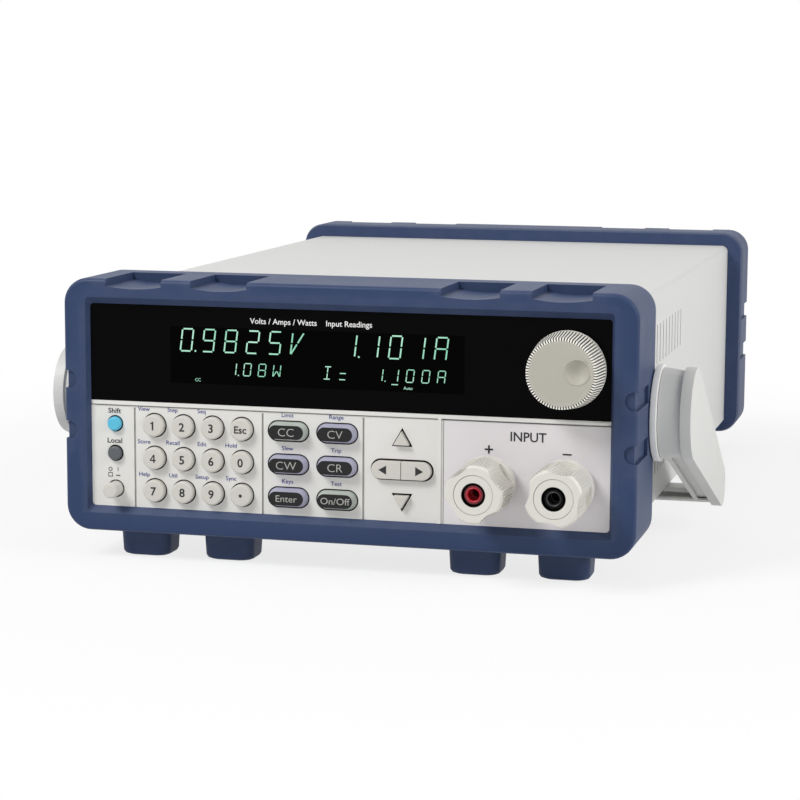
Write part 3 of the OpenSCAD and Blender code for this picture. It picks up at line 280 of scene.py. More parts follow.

# %% [markdown]
# One row of a table describes one finish, so neighbours such as the two milky keys are easy to compare.
# The columns are colour, roughness, pebbles per metre, bump, tone drift, roughness drift, dust and edge rub,
# the last being rubbed wear together with a painted edge highlight.
# A metal adds how metallic it is, and a dull or dark finish then adds a lower specular level.

# %% Table of finishes
FINISH_TABLE = {
    "navy_bumper": ((43, 60, 95), 0.5, 1300, 0.16, 0.12, 0.16, 0.03, 0.05, 0.0, 0.24),
    "pale_powder_coat": ((214, 214, 212), 0.5, 2200, 0.12, 0.04, 0.12, 0.05, 0.1),
    "plated_sheet": ((176, 178, 180), 0.34, 500, 0.05, 0.10, 0.2, 0.1, 0.2, 0.9),
    "panel_moulding": ((222, 221, 217), 0.52, 2400, 0.08, 0.03, 0.1, 0.03, 0.1),
    "terminal_moulding": ((222, 218, 220), 0.5, 2400, 0.08, 0.03, 0.1, 0.03, 0.1),
    "smoked_lens": ((6, 5, 6), 0.14, 300, 0.0, 0.2, 0.05, 0.002, 0.0, 0.0, 0.03),
    "screen_black": ((3, 4, 3), 0.3, 600, 0.0, 0.3, 0.05, 0.0, 0.0, 0.0, 0.01),
    "board_green": ((38, 92, 58), 0.45, 900, 0.1, 0.3, 0.2, 0.05, 0.1),
    "black_moulding": ((27, 28, 30), 0.45, 1500, 0.1, 0.2, 0.15, 0.08, 0.1),
    "bright_steel": ((186, 187, 189), 0.24, 700, 0.04, 0.08, 0.15, 0.02, 0.1, 1.0),
    "stud_brass": ((206, 168, 84), 0.28, 700, 0.04, 0.12, 0.2, 0.02, 0.1, 1.0),
    "signal_red": ((186, 24, 44), 0.34, 1500, 0.05, 0.1, 0.12, 0.02, 0.1),
    "sleeve_red": ((104, 10, 26), 0.4, 1500, 0.05, 0.1, 0.12, 0.0, 0.05),
    "bus_copper": ((184, 115, 60), 0.35, 500, 0.05, 0.2, 0.2, 0.05, 0.1, 1.0),
    "sink_aluminium": ((168, 171, 174), 0.4, 600, 0.06, 0.1, 0.2, 0.1, 0.1, 1.0),
    "core_varnish": ((105, 98, 88), 0.5, 500, 0.1, 0.2, 0.2, 0.1, 0.1),
    "sense_green": ((58, 118, 74), 0.45, 1500, 0.08, 0.1, 0.12, 0.05, 0.1),
    # The hubs are a white moulding, made paler still as a painted highlight for the light that their rings
    # catch.
    "hub_white_with_highlight": ((250, 250, 247), 0.42, 2000, 0.06, 0.03, 0.1, 0.03, 0.05),
    "handle_moulding": ((213, 213, 210), 0.48, 1800, 0.1, 0.04, 0.12, 0.05, 0.1),
    "knob_moulding": ((176, 173, 161), 0.5, 2000, 0.08, 0.05, 0.1, 0.02, 0.2),
    # Painted shade between the knob's teeth: a darker copy of the knob's plastic.
    "knob_painted_shade": ((134, 131, 121), 0.6, 2000, 0.08, 0.1, 0.1, 0.0, 0.0, 0.0, 0.2),
    # Painted highlight on the knob's tooth crests and collar: a paler copy of the knob's plastic.
    "knob_painted_highlight": ((246, 244, 235), 0.42, 2000, 0.06, 0.05, 0.1, 0.0, 0.1),
    "cap_moulding": ((216, 214, 206), 0.42, 2000, 0.06, 0.04, 0.1, 0.03, 0.15),
    "round_key_rubber": ((202, 199, 192), 0.58, 2200, 0.08, 0.04, 0.1, 0.03, 0.1),
    "milky_key": ((164, 163, 184), 0.42, 1800, 0.05, 0.05, 0.1, 0.03, 0.1),
    "milky_key_lit": ((172, 179, 172), 0.42, 1800, 0.05, 0.05, 0.1, 0.03, 0.1),
    "cyan_key": ((84, 184, 214), 0.45, 2200, 0.06, 0.05, 0.1, 0.03, 0.1),
    "slate_key": ((84, 87, 92), 0.5, 2200, 0.06, 0.06, 0.1, 0.03, 0.1),
    "black_print": ((24, 24, 27), 0.6, 3000, 0.02, 0.15, 0.1, 0.0, 0.0),
    "blue_print": ((30, 42, 132), 0.6, 3000, 0.02, 0.12, 0.1, 0.0, 0.0, 0.0, 0.2),
    "white_print": ((228, 228, 226), 0.6, 3000, 0.02, 0.05, 0.1, 0.0, 0.0),
    "grey_print": ((174, 173, 168), 0.6, 3000, 0.02, 0.05, 0.1, 0.0, 0.0),
    "oval_face_black": ((20, 20, 22), 0.42, 2200, 0.05, 0.2, 0.1, 0.01, 0.05, 0.0, 0.25),
    # Painted shade on the floors of the panel's shallow grooves.
    "painted_groove_shade": ((178, 177, 170), 0.6, 2000, 0.05, 0.1, 0.1, 0.0, 0.0, 0.0, 0.2),
    # Painted shade on the walls of the key holes and the keys' hidden skirts.
    "painted_gap_shade": ((30, 29, 28), 0.6, 1500, 0.02, 0.2, 0.1, 0.0, 0.0, 0.0, 0.1),
    "well_black": ((12, 11, 11), 0.5, 1500, 0.02, 0.2, 0.1, 0.0, 0.0, 0.0, 0.1),
}
FINISHES = {name: finish(name, shade(*colour), *values) for name, (colour, *values) in FINISH_TABLE.items()}
print("made", len(FINISHES), "finishes")

# %% [markdown]
# The display is a fluorescent tube: its segments give their own mint-green light.
# The tint drifts a little along the tube, which an Emission Color fed by a slow noise gives.
# The strength stays near one, so the digits read as they would in a photograph.

# %% Glowing phosphor
PHOSPHOR_STOPS = ((0.35, shade(146, 220, 188)), (0.65, shade(190, 244, 218)))
PHOSPHOR_SCALE = 60.0
PHOSPHOR_STRENGTH = 0.9


def make_phosphor():
    material = bpy.data.materials.new("phosphor_glow")
    material.use_nodes = True
    tree = material.node_tree
    shader = tree.nodes["Principled BSDF"]
    ramp = tree.nodes.new("ShaderNodeValToRGB")
    for stop, (position, colour) in zip(ramp.color_ramp.elements, PHOSPHOR_STOPS):
        stop.position = position
        stop.color = colour
    wire(tree, object_noise(tree, PHOSPHOR_SCALE, 2.0), ramp.inputs["Fac"])
    wire(tree, ramp.outputs["Color"], shader.inputs["Emission Color"])
    shader.inputs["Emission Strength"].default_value = PHOSPHOR_STRENGTH
    shader.inputs["Base Color"].default_value = shade(20, 40, 34)
    shader.inputs["Roughness"].default_value = 0.5
    return material


FINISHES["phosphor_glow"] = make_phosphor()
print("made phosphor_glow")

# %% [markdown]
# A piece of the dressing is a mesh, a finish and the body that it rides on.
# One helper turns a bmesh into such a piece. Faces are shaded smooth, apart from those that meet at an edge
# sharper than 30 degrees.

# %% Piece helpers
SHARP_ANGLE = math.radians(30)


def body_of(node):
    return nodes[node]["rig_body"]


def mesh_from(shape, name):
    mesh = bpy.data.meshes.new(name)
    shape.to_mesh(mesh)
    shape.free()
    mesh.shade_smooth()
    mesh.set_sharp_from_angle(angle=SHARP_ANGLE)
    return mesh


def add_piece(name, shape, body, material):
    mesh = mesh_from(shape, name)
    piece = bpy.data.objects.new(name, mesh)
    bpy.context.scene.collection.objects.link(piece)
    mesh.materials.clear()
    mesh.materials.append(FINISHES[material])
    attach(piece, body)
    return piece


print("the front panel rides on", body_of("front_panel"))

# %% [markdown]
# Most of the CAD nodes have the right shape but knife-sharp edges, and a real moulding never has those.
# A Bevel modifier could round them, but the copies are cut and recoloured later, so it is done in the mesh:
# a copy of the node is merged, its flat faces are joined, and the bevel operator rounds every sharp edge.
# The copy replaces the node in the picture, and the node stays for the physics.
# Long thin faces shade in streaks, so the big mouldings are also cut into small cells by a few planes,
# and a Weighted Normal modifier lets the broad faces keep their own direction.

# %% Softening helpers
MERGE_REACH = 0.02 * MM
CUT_REACH = 0.001 * MM
FLAT_ANGLE = math.radians(0.5)
FLAT_WEIGHT = 80
CELL_SIZE = {"front_bumper": 6 * MM, "rear_bumper": 8 * MM, "carry_handle": 6 * MM}


def merged_shape(node):
    shape = bmesh.new()
    shape.from_mesh(nodes[node].data)
    bmesh.ops.remove_doubles(shape, verts=shape.verts, dist=MERGE_REACH)
    bmesh.ops.dissolve_degenerate(shape, edges=shape.edges, dist=MERGE_REACH)
    bmesh.ops.dissolve_limit(shape, angle_limit=FLAT_ANGLE, verts=shape.verts, edges=shape.edges)
    return shape


def keep_flats_flat(piece):
    leaning = piece.modifiers.new("flat_faces", "WEIGHTED_NORMAL")
    leaning.mode = "FACE_AREA"
    leaning.weight = FLAT_WEIGHT
    leaning.keep_sharp = True


def round_edges(shape, width, segments):
    sharp = [edge for edge in shape.edges if len(edge.link_faces) == 2
             and edge.calc_face_angle() > SHARP_ANGLE]
    bmesh.ops.bevel(shape, geom=sharp, offset=width, offset_type="OFFSET", affect="EDGES", segments=segments,
                    profile=0.5, clamp_overlap=True, material=-1)


def cut_across(shape, point, across):
    bmesh.ops.bisect_plane(shape, geom=shape.verts[:] + shape.edges[:] + shape.faces[:], dist=CUT_REACH,
                           plane_co=point, plane_no=across)


def cut_in_cells(shape, low, high, cell):
    for axis in range(3):
        across = Vector((axis == 0, axis == 1, axis == 2))
        for step in range(1, math.ceil((high[axis] - low[axis]) / cell)):
            cut_across(shape, low + across * cell * step, across)


def soften(node, material, width, segments=2, split_y=None):
    shape = merged_shape(node)
    round_edges(shape, width, segments)
    if split_y is not None:
        cut_across(shape, Vector((0, split_y, 0)), Vector((0, 1, 0)))
    if node in CELL_SIZE:
        cut_in_cells(shape, *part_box(node), CELL_SIZE[node])
    piece = add_piece("soft_" + node, shape, body_of(node), material)
    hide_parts(node)
    keep_flats_flat(piece)
    return piece


print("mouldings cut into cells:", list(CELL_SIZE))

# %% [markdown]
# Each row below names a node, its finish, its slot and how wide its edges roll, in millimetres.
# Folded sheet metal has a tight edge, a moulding a wider one, and the handle the widest, because a hand
# holds it.

# %% Softened copies of CAD nodes
SOFT_NODES = [
    ("front_bumper", "navy_bumper", "bumper_plastic", 0.3),
    ("rear_bumper", "navy_bumper", "bumper_plastic", 0.3),
    ("top_cover", "pale_powder_coat", "case_paint", 0.15),
    ("front_panel", "panel_moulding", "panel_plastic", 0.2),
    ("terminal_plate", "terminal_moulding", "terminal_plate_plastic", 0.25),
    ("display_window", "smoked_lens", "window_lens", 0.2),
    ("carry_handle", "handle_moulding", "handle_plastic", 0.6),
    ("handle_hubs", "hub_white_with_highlight", "hub_plastic", 0.5),
    ("rear_panel", "pale_powder_coat", "case_paint", 0.1),
    ("mains_inlet", "black_moulding", "black_plastic", 0.3),
    ("sense_block", "sense_green", "sense_plastic", 0.3),
    ("serial_port", "bright_steel", "bright_steel", 0.3),
    ("positive_cap", "cap_moulding", "cap_plastic", 0.3),
    ("negative_cap", "cap_moulding", "cap_plastic", 0.3),
    ("positive_insert", "cap_moulding", "cap_plastic", 0.3),
    ("negative_insert", "cap_moulding", "cap_plastic", 0.3),
    ("case_screws", "bright_steel", "bright_steel", 0.4),
]
for node, material, slot, width in SOFT_NODES:
    soften(node, material, width * MM)
print("softened", len(SOFT_NODES), "nodes")

# %% [markdown]
# The plug wells in the terminal rings are black inside, while the ring's face is white.
# A second material on the same piece does it: faces near the axis that look sideways get the black one.
# A thin flat ring, a circle's edge extruded inwards and given a thickness, closes the well's floor.

# %% Black plug wells
WELL_REACH = 5.2 * MM
WELL_DEPTH = 3.0 * MM
WELL_OUTER, WELL_INNER = 4.45 * MM, 3.58 * MM
WELL_SHEET = 0.3 * MM
FACING = 0.5
UPRIGHT = Matrix.Rotation(math.radians(90), 4, "X")


def off_axis(point, axis_point):
    return Vector((point.x - axis_point.x, 0, point.z - axis_point.z))


def of_kind(items, kind):
    return [item for item in items if isinstance(item, kind)]


def blacken_well(node):
    mesh = bpy.data.objects["soft_" + node].data
    mesh.materials.append(FINISHES["well_black"])
    axis_point = middle_of(node)
    walls = [face for face in mesh.polygons if abs(face.normal.y) < FACING
             and off_axis(face.center, axis_point).length < WELL_REACH]
    for face in walls:
        face.material_index = 1
    return len(walls)


def face_front(shape):
    for face in shape.faces:
        face.normal_update()
        if face.normal.y > 0:
            face.normal_flip()


def flat_ring(centre, outer, inner, thickness, sides):
    ring = bmesh.new()
    bmesh.ops.create_circle(ring, cap_ends=False, segments=sides, radius=outer)
    grown = bmesh.ops.extrude_edge_only(ring, edges=ring.edges[:])["geom"]
    bmesh.ops.scale(ring, vec=Vector((inner / outer,) * 3), verts=of_kind(grown, bmesh.types.BMVert))
    bmesh.ops.transform(ring, matrix=Matrix.Translation(centre) @ UPRIGHT, verts=ring.verts)
    bmesh.ops.recalc_face_normals(ring, faces=ring.faces)
    face_front(ring)
    bmesh.ops.solidify(ring, geom=ring.faces[:], thickness=thickness)
    return ring


def well_floor(node, body):
    axis_point = middle_of(node)
    floor_point = Vector((axis_point.x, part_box(node)[0].y + WELL_DEPTH, axis_point.z))
    ring = flat_ring(floor_point, WELL_OUTER, WELL_INNER, WELL_SHEET, 48)
    add_piece(node + "_well", ring, body, "well_black")


blackened = blacken_well("positive_insert") + blacken_well("negative_insert")
well_floor("positive_insert", "positive_ring")
well_floor("negative_insert", "negative_ring")
print("blackened", blackened, "well faces and closed two floors")

# %% [markdown]
# Inside each well stands a coloured plug sleeve with a rounded lip and a stepped bore.
# A spun outline would do. Here a rim of edges is extruded again and again, which keeps the steps in one short
# profile: the radii are shares of the bore, the depths are millimetres behind the sleeve's front.

# %% Linings of the plug sockets
LINING_BORE = 2.34 * MM
LINING_INSET = 0.05 * MM
LINING_START_SHARE, LINING_START_DEPTH = 1.26, 0.3 * MM
LINING_PROFILE = ((1.24, 0.05), (1.2, -0.35), (1.1, -0.45), (1.0, -0.25),
                  (0.98, 6.0), (0.8, 6.0), (0.8, 16.0), (0.02, 16.0))


def socket_lining(name, node, sleeve, material):
    axis_point = middle_of(node)
    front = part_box(sleeve)[0].y + LINING_INSET
    shape = bmesh.new()
    bmesh.ops.create_circle(shape, cap_ends=False, segments=40, radius=LINING_START_SHARE * LINING_BORE)
    bmesh.ops.translate(shape, vec=Vector((0, 0, -LINING_START_DEPTH)), verts=shape.verts)
    rim = shape.edges[:]
    for share, depth in LINING_PROFILE:
        grown = bmesh.ops.extrude_edge_only(shape, edges=rim)["geom"]
        rim = of_kind(grown, bmesh.types.BMEdge)
        for corner in of_kind(grown, bmesh.types.BMVert):
            flat = Vector((corner.co.x, corner.co.y, 0)).normalized() * LINING_BORE * share
            corner.co = Vector((flat.x, flat.y, -depth * MM))
    place = Matrix.Translation((axis_point.x, front, axis_point.z)) @ UPRIGHT
    bmesh.ops.transform(shape, matrix=place, verts=shape.verts)
    bmesh.ops.recalc_face_normals(shape, faces=shape.faces)
    bmesh.ops.reverse_faces(shape, faces=shape.faces)
    add_piece(name, shape, "chassis", material)


socket_lining("positive_lining", "positive_insert", "positive_insulator", "signal_red")
socket_lining("negative_lining", "negative_insert", "negative_insulator", "black_moulding")
print("lined both sockets, bore", round(2 * LINING_BORE / MM, 2), "mm")

# %% [markdown]
# The keypad has twelve round keys, six oval ones, four arrows and two small keys.
# The tables give each key's node and, where it has one, the word that is printed on it later. The left and
# right arrows are the two halves of one long key, so both are listed with its middle.

# %% Key names
ROUND_LABELS = {
    "key_1": "1", "key_2": "2", "key_3": "3", "key_escape": "Esc",
    "key_4": "4", "key_5": "5", "key_6": "6", "key_0": "0",
    "key_7": "7", "key_8": "8", "key_9": "9", "key_point": "•",
}
OVAL_LABELS = {
    "key_cc": "CC", "key_cv": "CV", "key_cw": "CW", "key_cr": "CR",
    "key_enter": "Enter", "key_on_off": "On/Off",
}
LIT_OVALS = ("key_cc", "key_on_off")
long_key = (middle_of("key_left") + middle_of("key_right")) / 2
ARROW_KEYS = {"key_up": middle_of("key_up"), "key_down": middle_of("key_down"),
              "key_left": long_key, "key_right": long_key}
PRESSED_KEYS = list(ROUND_LABELS) + list(OVAL_LABELS) + list(ARROW_KEYS) + ["key_shift", "key_local"]
print("the keypad has", len(PRESSED_KEYS), "keys")

# %% [markdown]
# The keys are soft-touch caps with a rounded crown. The same softening does it, with a wider roll on the
# arrow keys. Two oval keys glow faintly green through their milky bodies when their mode is on.
# A dark line shows all round the arrow keys, so their visible copies are drawn in a little. The left and
# right halves are drawn in about their common middle, which keeps them together as one long key.

# %% Keys
GAP_START = 0.15 * MM
ARROW_GAP = 0.2 * MM
OVAL_ROLL, ROUND_ROLL, ARROW_ROLL, POWER_ROLL = 0.1 * MM, 0.3 * MM, 0.4 * MM, 0.5 * MM
CROWN_STEPS = 3
gap_y = panel_face_y + GAP_START


def about(centre, change):
    return Matrix.Translation(centre) @ change @ Matrix.Translation(-centre)


for key in ROUND_LABELS:
    soften(key, "round_key_rubber", ROUND_ROLL, CROWN_STEPS, gap_y)
for key in OVAL_LABELS:
    milky = "milky_key_lit" if key in LIT_OVALS else "milky_key"
    soften(key, milky, OVAL_ROLL, split_y=gap_y)
for key, centre in ARROW_KEYS.items():
    arrow = soften(key, "round_key_rubber", ARROW_ROLL, CROWN_STEPS, gap_y)
    low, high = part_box(key)
    reach_x = max(high.x - centre.x, centre.x - low.x)
    reach_z = (high.z - low.z) / 2
    slimmer = Matrix.Diagonal((1 - ARROW_GAP / reach_x, 1, 1 - ARROW_GAP / reach_z, 1))
    arrow.data.transform(about(centre, slimmer))
soften("key_shift", "cyan_key", ROUND_ROLL, CROWN_STEPS, gap_y)
soften("key_local", "slate_key", ROUND_ROLL, CROWN_STEPS, gap_y)
soften("power_button", "round_key_rubber", POWER_ROLL, CROWN_STEPS)
print("softened", len(PRESSED_KEYS), "keys and the power button")

# %% [markdown]
# The narrow gap round each key looks into the dark space behind the panel. Shadow alone would leave it pale,
# so the walls of the key holes and the hidden skirts of the keys take a near-black second material as painted
# shade, and the floors of the panel's shallow grooves take a grey third one, painted shade as well. A face is
# picked by how far it lies behind the panel's front, which is why the keys were cut there, and by whether it
# looks forward or sideways.

# %% Painted shade in the gaps and grooves
GROOVE_WALL = 0.25 * MM
GROOVE_FLOOR = 0.8 * MM
PLATE_DEPTH = 10 * MM


# Painted shade: behind the panel's front, forward-facing faces within reach take the given front finish, and
# deeper ones and sideways walls past a shallow lip take the near-black one.
def paint_shade_behind(node, front_finish, reach=GROOVE_FLOOR):
    mesh = bpy.data.objects["soft_" + node].data
    mesh.materials.append(FINISHES["painted_gap_shade"])
    mesh.materials.append(FINISHES[front_finish])
    picked = [face for face in mesh.polygons if face.center.y > gap_y]
    for face in picked:
        looks_forward = abs(face.normal.y) > FACING
        if looks_forward and face.center.y < gap_y + reach:
            face.material_index = 2
        elif looks_forward or face.center.y > gap_y + GROOVE_WALL:
            face.material_index = 1
    return len(picked)


darkened = paint_shade_behind("front_panel", "painted_groove_shade")
darkened += paint_shade_behind("terminal_plate", "terminal_moulding", PLATE_DEPTH)
for key in PRESSED_KEYS:
    darkened += paint_shade_behind(key, "painted_gap_shade")
print("darkened", darkened, "faces behind the panel's front")

# %% [markdown]
# Nodes that are hidden or hardly seen keep their CAD mesh and only take a finish.
# Some of them show from below or through the vents and the fan grille, so each one gets the material it has
# in life.

# %% Finishes for the nodes that stay
STAYING = {
    "chassis_tray": "plated_sheet", "display_tube": "screen_black", "front_board": "board_green",
    "key_switches": "black_moulding", "encoder_body": "bright_steel", "power_switch": "black_moulding",
    "terminal_posts": "stud_brass", "positive_insulator": "sleeve_red", "negative_insulator": "well_black",
    "bus_bars": "bus_copper", "main_board": "board_green", "heatsink": "sink_aluminium",
    "power_transistors": "black_moulding", "fan_frame": "black_moulding", "transformer": "core_varnish",
    "encoder_shaft": "bright_steel", "fan_rotor": "black_moulding",
}
for node, material in STAYING.items():
    slots = nodes[node].data.materials
    slots.clear()
    slots.append(FINISHES[material])
print("finished", len(STAYING), "staying nodes")

# %% [markdown]
# The control knob is a tapered moulding with a dished face.
# The plain CAD knob is copied and drawn in by the height of a tooth, which leaves room for the teeth inside
# the CAD outline. Its sides take a darker second material, a painted shade, because little light gets in
# between the teeth.

# %% Knob core
KNOB_TAPER = 1.4 * MM
KNOB_MERGE = 0.002 * MM
FACE_BORDER = 2.2 * MM
FACE_ON = 0.95
TOOTH_HEIGHT = 1.1 * MM
knob_low, knob_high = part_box("control_knob")
knob_middle = (knob_low + knob_high) / 2
rear_radius = (knob_high.x - knob_low.x) / 2
face_radius = rear_radius - KNOB_TAPER


def make_knob_core():
    core = bmesh.new()
    core.from_mesh(nodes["control_knob"].data)
    bmesh.ops.remove_doubles(core, verts=core.verts, dist=KNOB_MERGE)
    share = 1 - TOOTH_HEIGHT / rear_radius
    inward = about(knob_middle, Matrix.Diagonal((share, 1, share, 1)))
    bmesh.ops.transform(core, matrix=inward, verts=core.verts)
    piece = add_piece("knob_core", core, "knob", "knob_moulding")
    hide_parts("control_knob")
    # The sides of the core take the darker copy of the plastic as painted shade.
    piece.data.materials.append(FINISHES["knob_painted_shade"])
    for face in piece.data.polygons:
        reach = off_axis(face.center, knob_middle).length
        if reach > face_radius - FACE_BORDER and abs(face.normal.y) < FACE_ON:
            face.material_index = 1
    keep_flats_flat(piece)
    return piece


knob_core = make_knob_core()
print("knob core of radius", round((rear_radius - TOOTH_HEIGHT) / MM, 2), "mm")

# %% [markdown]
# A ring of fine straight teeth lets a fingertip push the knob round.
# A bump in the material would not show on the outline, so the teeth are real: one is shaped from a cube,
# with a slanted front, and spun round the axis as copies, so the crests reach the CAD knob's own outline.
# The crests take a much paler copy of the knob's plastic, a painted highlight, and the flanks take the darker
# painted shade, so that the crests stand out from far away.

# %% Knob teeth
TOOTH_COUNT = 78
TOOTH_SHARE = 0.52
CREST_WIDTH, ROOT_WIDTH = 0.95, 0.8
CREST_SETBACK, ROOT_SETBACK = 0.45 * MM, 0.1 * MM
COLLAR_DEPTH = 0.9 * MM


def make_knob_teeth():
    tooth = bmesh.new()
    bmesh.ops.create_cube(tooth, size=1.0)
    half_width = math.pi * rear_radius / TOOTH_COUNT * TOOTH_SHARE
    for corner in tooth.verts:
        at_face = corner.co.y < 0
        crest = corner.co.x > 0
        radius = face_radius if at_face else rear_radius
        front = knob_low.y + (CREST_SETBACK if crest else ROOT_SETBACK)
        corner.co.z *= 2 * half_width * (CREST_WIDTH if crest else ROOT_WIDTH)
        corner.co.x = radius - (0.0 if crest else 2 * TOOTH_HEIGHT)
        corner.co.y = front if at_face else knob_high.y - COLLAR_DEPTH
    axle = Vector((knob_middle.x, 0, knob_middle.z))
    bmesh.ops.translate(tooth, vec=axle, verts=tooth.verts)
    bmesh.ops.spin(tooth, geom=tooth.verts[:] + tooth.edges[:] + tooth.faces[:], cent=axle, axis=(0, 1, 0),
                   angle=2 * math.pi * (TOOTH_COUNT - 1) / TOOTH_COUNT, steps=TOOTH_COUNT - 1,
                   use_duplicate=True)
    bmesh.ops.recalc_face_normals(tooth, faces=tooth.faces)
    # The crests take the pale copy of the plastic as painted highlight, and the flanks take the dark one as
    # painted shade.
    teeth = add_piece("knob_teeth", tooth, "knob", "knob_painted_highlight")
    teeth.data.materials.append(FINISHES["knob_painted_shade"])
    for face in teeth.data.polygons:
        outward = off_axis(face.center, knob_middle).normalized()
        if face.normal.dot(outward) < FACING and face.normal.y > -FACING:
            face.material_index = 1


make_knob_teeth()
print("knob: radius", round(rear_radius / MM, 2), "mm with", TOOTH_COUNT, "teeth")

# %% [markdown]
# Three thin rings finish the knob: one widens the flat face to the teeth, one is a soft lip round the finger
# dish, and a smooth collar closes the teeth at the back, in the crests' pale finish that paints a highlight.
# The dish is found from the core's own face: the points of its edge give its middle and radius, and a small
# circle is spun about that middle for the lip.

# %% Knob rings
FACE_LIFT = 0.02 * MM
RIM_OUTSIDE, RIM_INSIDE, RIM_DEPTH = 1.2 * MM, 2.5 * MM, 0.5 * MM
COLLAR_WIDTH = 3.0 * MM
LIP_RADIUS = 0.2 * MM
KNOB_SIDES = 96


def make_dish_lip():
    dish_edge = [v.co.copy() for v in knob_core.data.vertices if v.co.y < knob_low.y + FACE_LIFT
                 and off_axis(v.co, knob_middle).length < face_radius - FACE_BORDER]
    dish_middle = sum(dish_edge, Vector()) / len(dish_edge)
    dish_radius = sum((spot - dish_middle).length for spot in dish_edge) / len(dish_edge)
    lip = bmesh.new()
    bmesh.ops.create_circle(lip, cap_ends=False, segments=10, radius=LIP_RADIUS)
    bmesh.ops.translate(lip, vec=dish_middle + Vector((dish_radius, 0, 0)), verts=lip.verts)
    bmesh.ops.spin(lip, geom=lip.verts[:] + lip.edges[:], cent=dish_middle, axis=(0, 1, 0),
                   angle=2 * math.pi, steps=64, use_merge=True)
    bmesh.ops.recalc_face_normals(lip, faces=lip.faces)
    add_piece("knob_dish_lip", lip, "knob", "knob_moulding")
    return dish_radius


face_point = Vector((knob_middle.x, knob_low.y - FACE_LIFT, knob_middle.z))
rim = flat_ring(face_point, face_radius - RIM_OUTSIDE, face_radius - RIM_INSIDE, RIM_DEPTH, KNOB_SIDES)
add_piece("knob_face_rim", rim, "knob", "knob_moulding")
dish_radius = make_dish_lip()
collar_point = Vector((knob_middle.x, knob_high.y - COLLAR_DEPTH, knob_middle.z))
collar = flat_ring(collar_point, rear_radius, rear_radius - COLLAR_WIDTH, COLLAR_DEPTH, KNOB_SIDES)
# The collar takes the pale copy of the knob's plastic, a painted highlight.
add_piece("knob_collar", collar, "knob", "knob_painted_highlight")
print("finger dish of radius", round(dish_radius / MM, 2), "mm")

# %% [markdown]
# Each terminal cap has four thumb scallops, and fine ribs run along its sides for grip.
# A rib is a slim cube laid on the cap's outline. The outline's radius at an angle follows from the scallop:
# a circle cut into a round bar, so the ray from the middle meets whichever is nearer.

# %% Ribs on the terminal caps
CAP_RADIUS = 11.1 * MM
SCALLOP_RADIUS = 12 * MM
WAIST_RADIUS = 9.1 * MM
CAP_COLLAR = 5.5 * MM
PLUS_TURN = math.radians(35)
MINUS_TURN = math.radians(80)
RIB_COUNT = 64
RIB_HEIGHT, RIB_WIDTH = 0.6 * MM, 0.42 * MM
RIB_FRONT_GAP, RIB_BACK_GAP = 1.6 * MM, 0.3 * MM
RIB_LEAN = Matrix.Rotation(math.radians(-2.5), 4, "X")


def outline_radius(angle, turn):
    reach = WAIST_RADIUS + SCALLOP_RADIUS
    nearest = CAP_RADIUS
    for quarter in range(4):
        off = angle - turn - quarter * math.pi / 2
        off = (off + math.pi) % (2 * math.pi) - math.pi
        across = reach * math.sin(off)
        if abs(off) < math.pi / 2 and abs(across) < SCALLOP_RADIUS:
            nearest = min(nearest, reach * math.cos(off) - math.sqrt(SCALLOP_RADIUS ** 2 - across ** 2))
    return nearest


def make_ribs(node, body, turn):
    low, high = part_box(node)
    axis_point = middle_of(node)
    front, back = low.y + RIB_FRONT_GAP, high.y - CAP_COLLAR - RIB_BACK_GAP
    ribs = bmesh.new()
    for index in range(RIB_COUNT):
        angle = 2 * math.pi * (index + 0.5) / RIB_COUNT
        made = bmesh.ops.create_cube(ribs, size=1.0)["verts"]
        bmesh.ops.scale(ribs, vec=Vector((RIB_HEIGHT, back - front, RIB_WIDTH)), verts=made)
        place = (Matrix.Translation((axis_point.x, (front + back) / 2, axis_point.z))
                 @ Matrix.Rotation(-angle, 4, "Y")
                 @ Matrix.Translation((outline_radius(angle, turn), 0, 0)) @ RIB_LEAN)
        bmesh.ops.transform(ribs, matrix=place, verts=made)
    add_piece(node + "_ribs", ribs, body, "cap_moulding")


make_ribs("positive_cap", "positive_screw_cap", PLUS_TURN)
make_ribs("negative_cap", "negative_screw_cap", MINUS_TURN)
print("ribbed both caps with", RIB_COUNT, "ribs each")

# %% [markdown]
# Printed legends are flat ink on the moulding. A painted texture would blur close up, so the letters are
# real: text is made with Blender's own font, turned into a mesh, and only then moved to its place a few
# hundredths of a millimetre in front of the surface it is printed on. Words of one colour on one body are
# gathered into one piece.

# %% Lettering helpers
INK_LIFT = 0.03 * MM


def text_mesh(words, weight=0.0):
    curve = bpy.data.curves.new("words", "FONT")
    curve.body = words
    curve.align_x = "CENTER"
    curve.resolution_u = 3
    curve.offset = weight
    holder = bpy.data.objects.new("words", curve)
    bpy.context.scene.collection.objects.link(holder)
    bpy.context.view_layer.update()
    mesh = bpy.data.meshes.new_from_object(holder.evaluated_get(bpy.context.evaluated_depsgraph_get()))
    bpy.data.objects.remove(holder)
    bpy.data.curves.remove(curve)
    return mesh


def cap_height():
    mesh = text_mesh("H")
    heights = [v.co.y for v in mesh.vertices]
    bpy.data.meshes.remove(mesh)
    return max(heights) - min(heights)


CAP_HEIGHT = cap_height()


def add_words(shape, words, x, y, z, height, weight=0.0, squeeze=1.0, turn=0.0):
    mesh = text_mesh(words, weight)
    size = height / CAP_HEIGHT
    place = (Matrix.Translation((x, y, z - height / 2)) @ Matrix.Rotation(turn, 4, "Z") @ UPRIGHT
             @ Matrix.Diagonal((size * squeeze, size, size, 1)))
    mesh.transform(place)
    shape.from_mesh(mesh)
    bpy.data.meshes.remove(mesh)


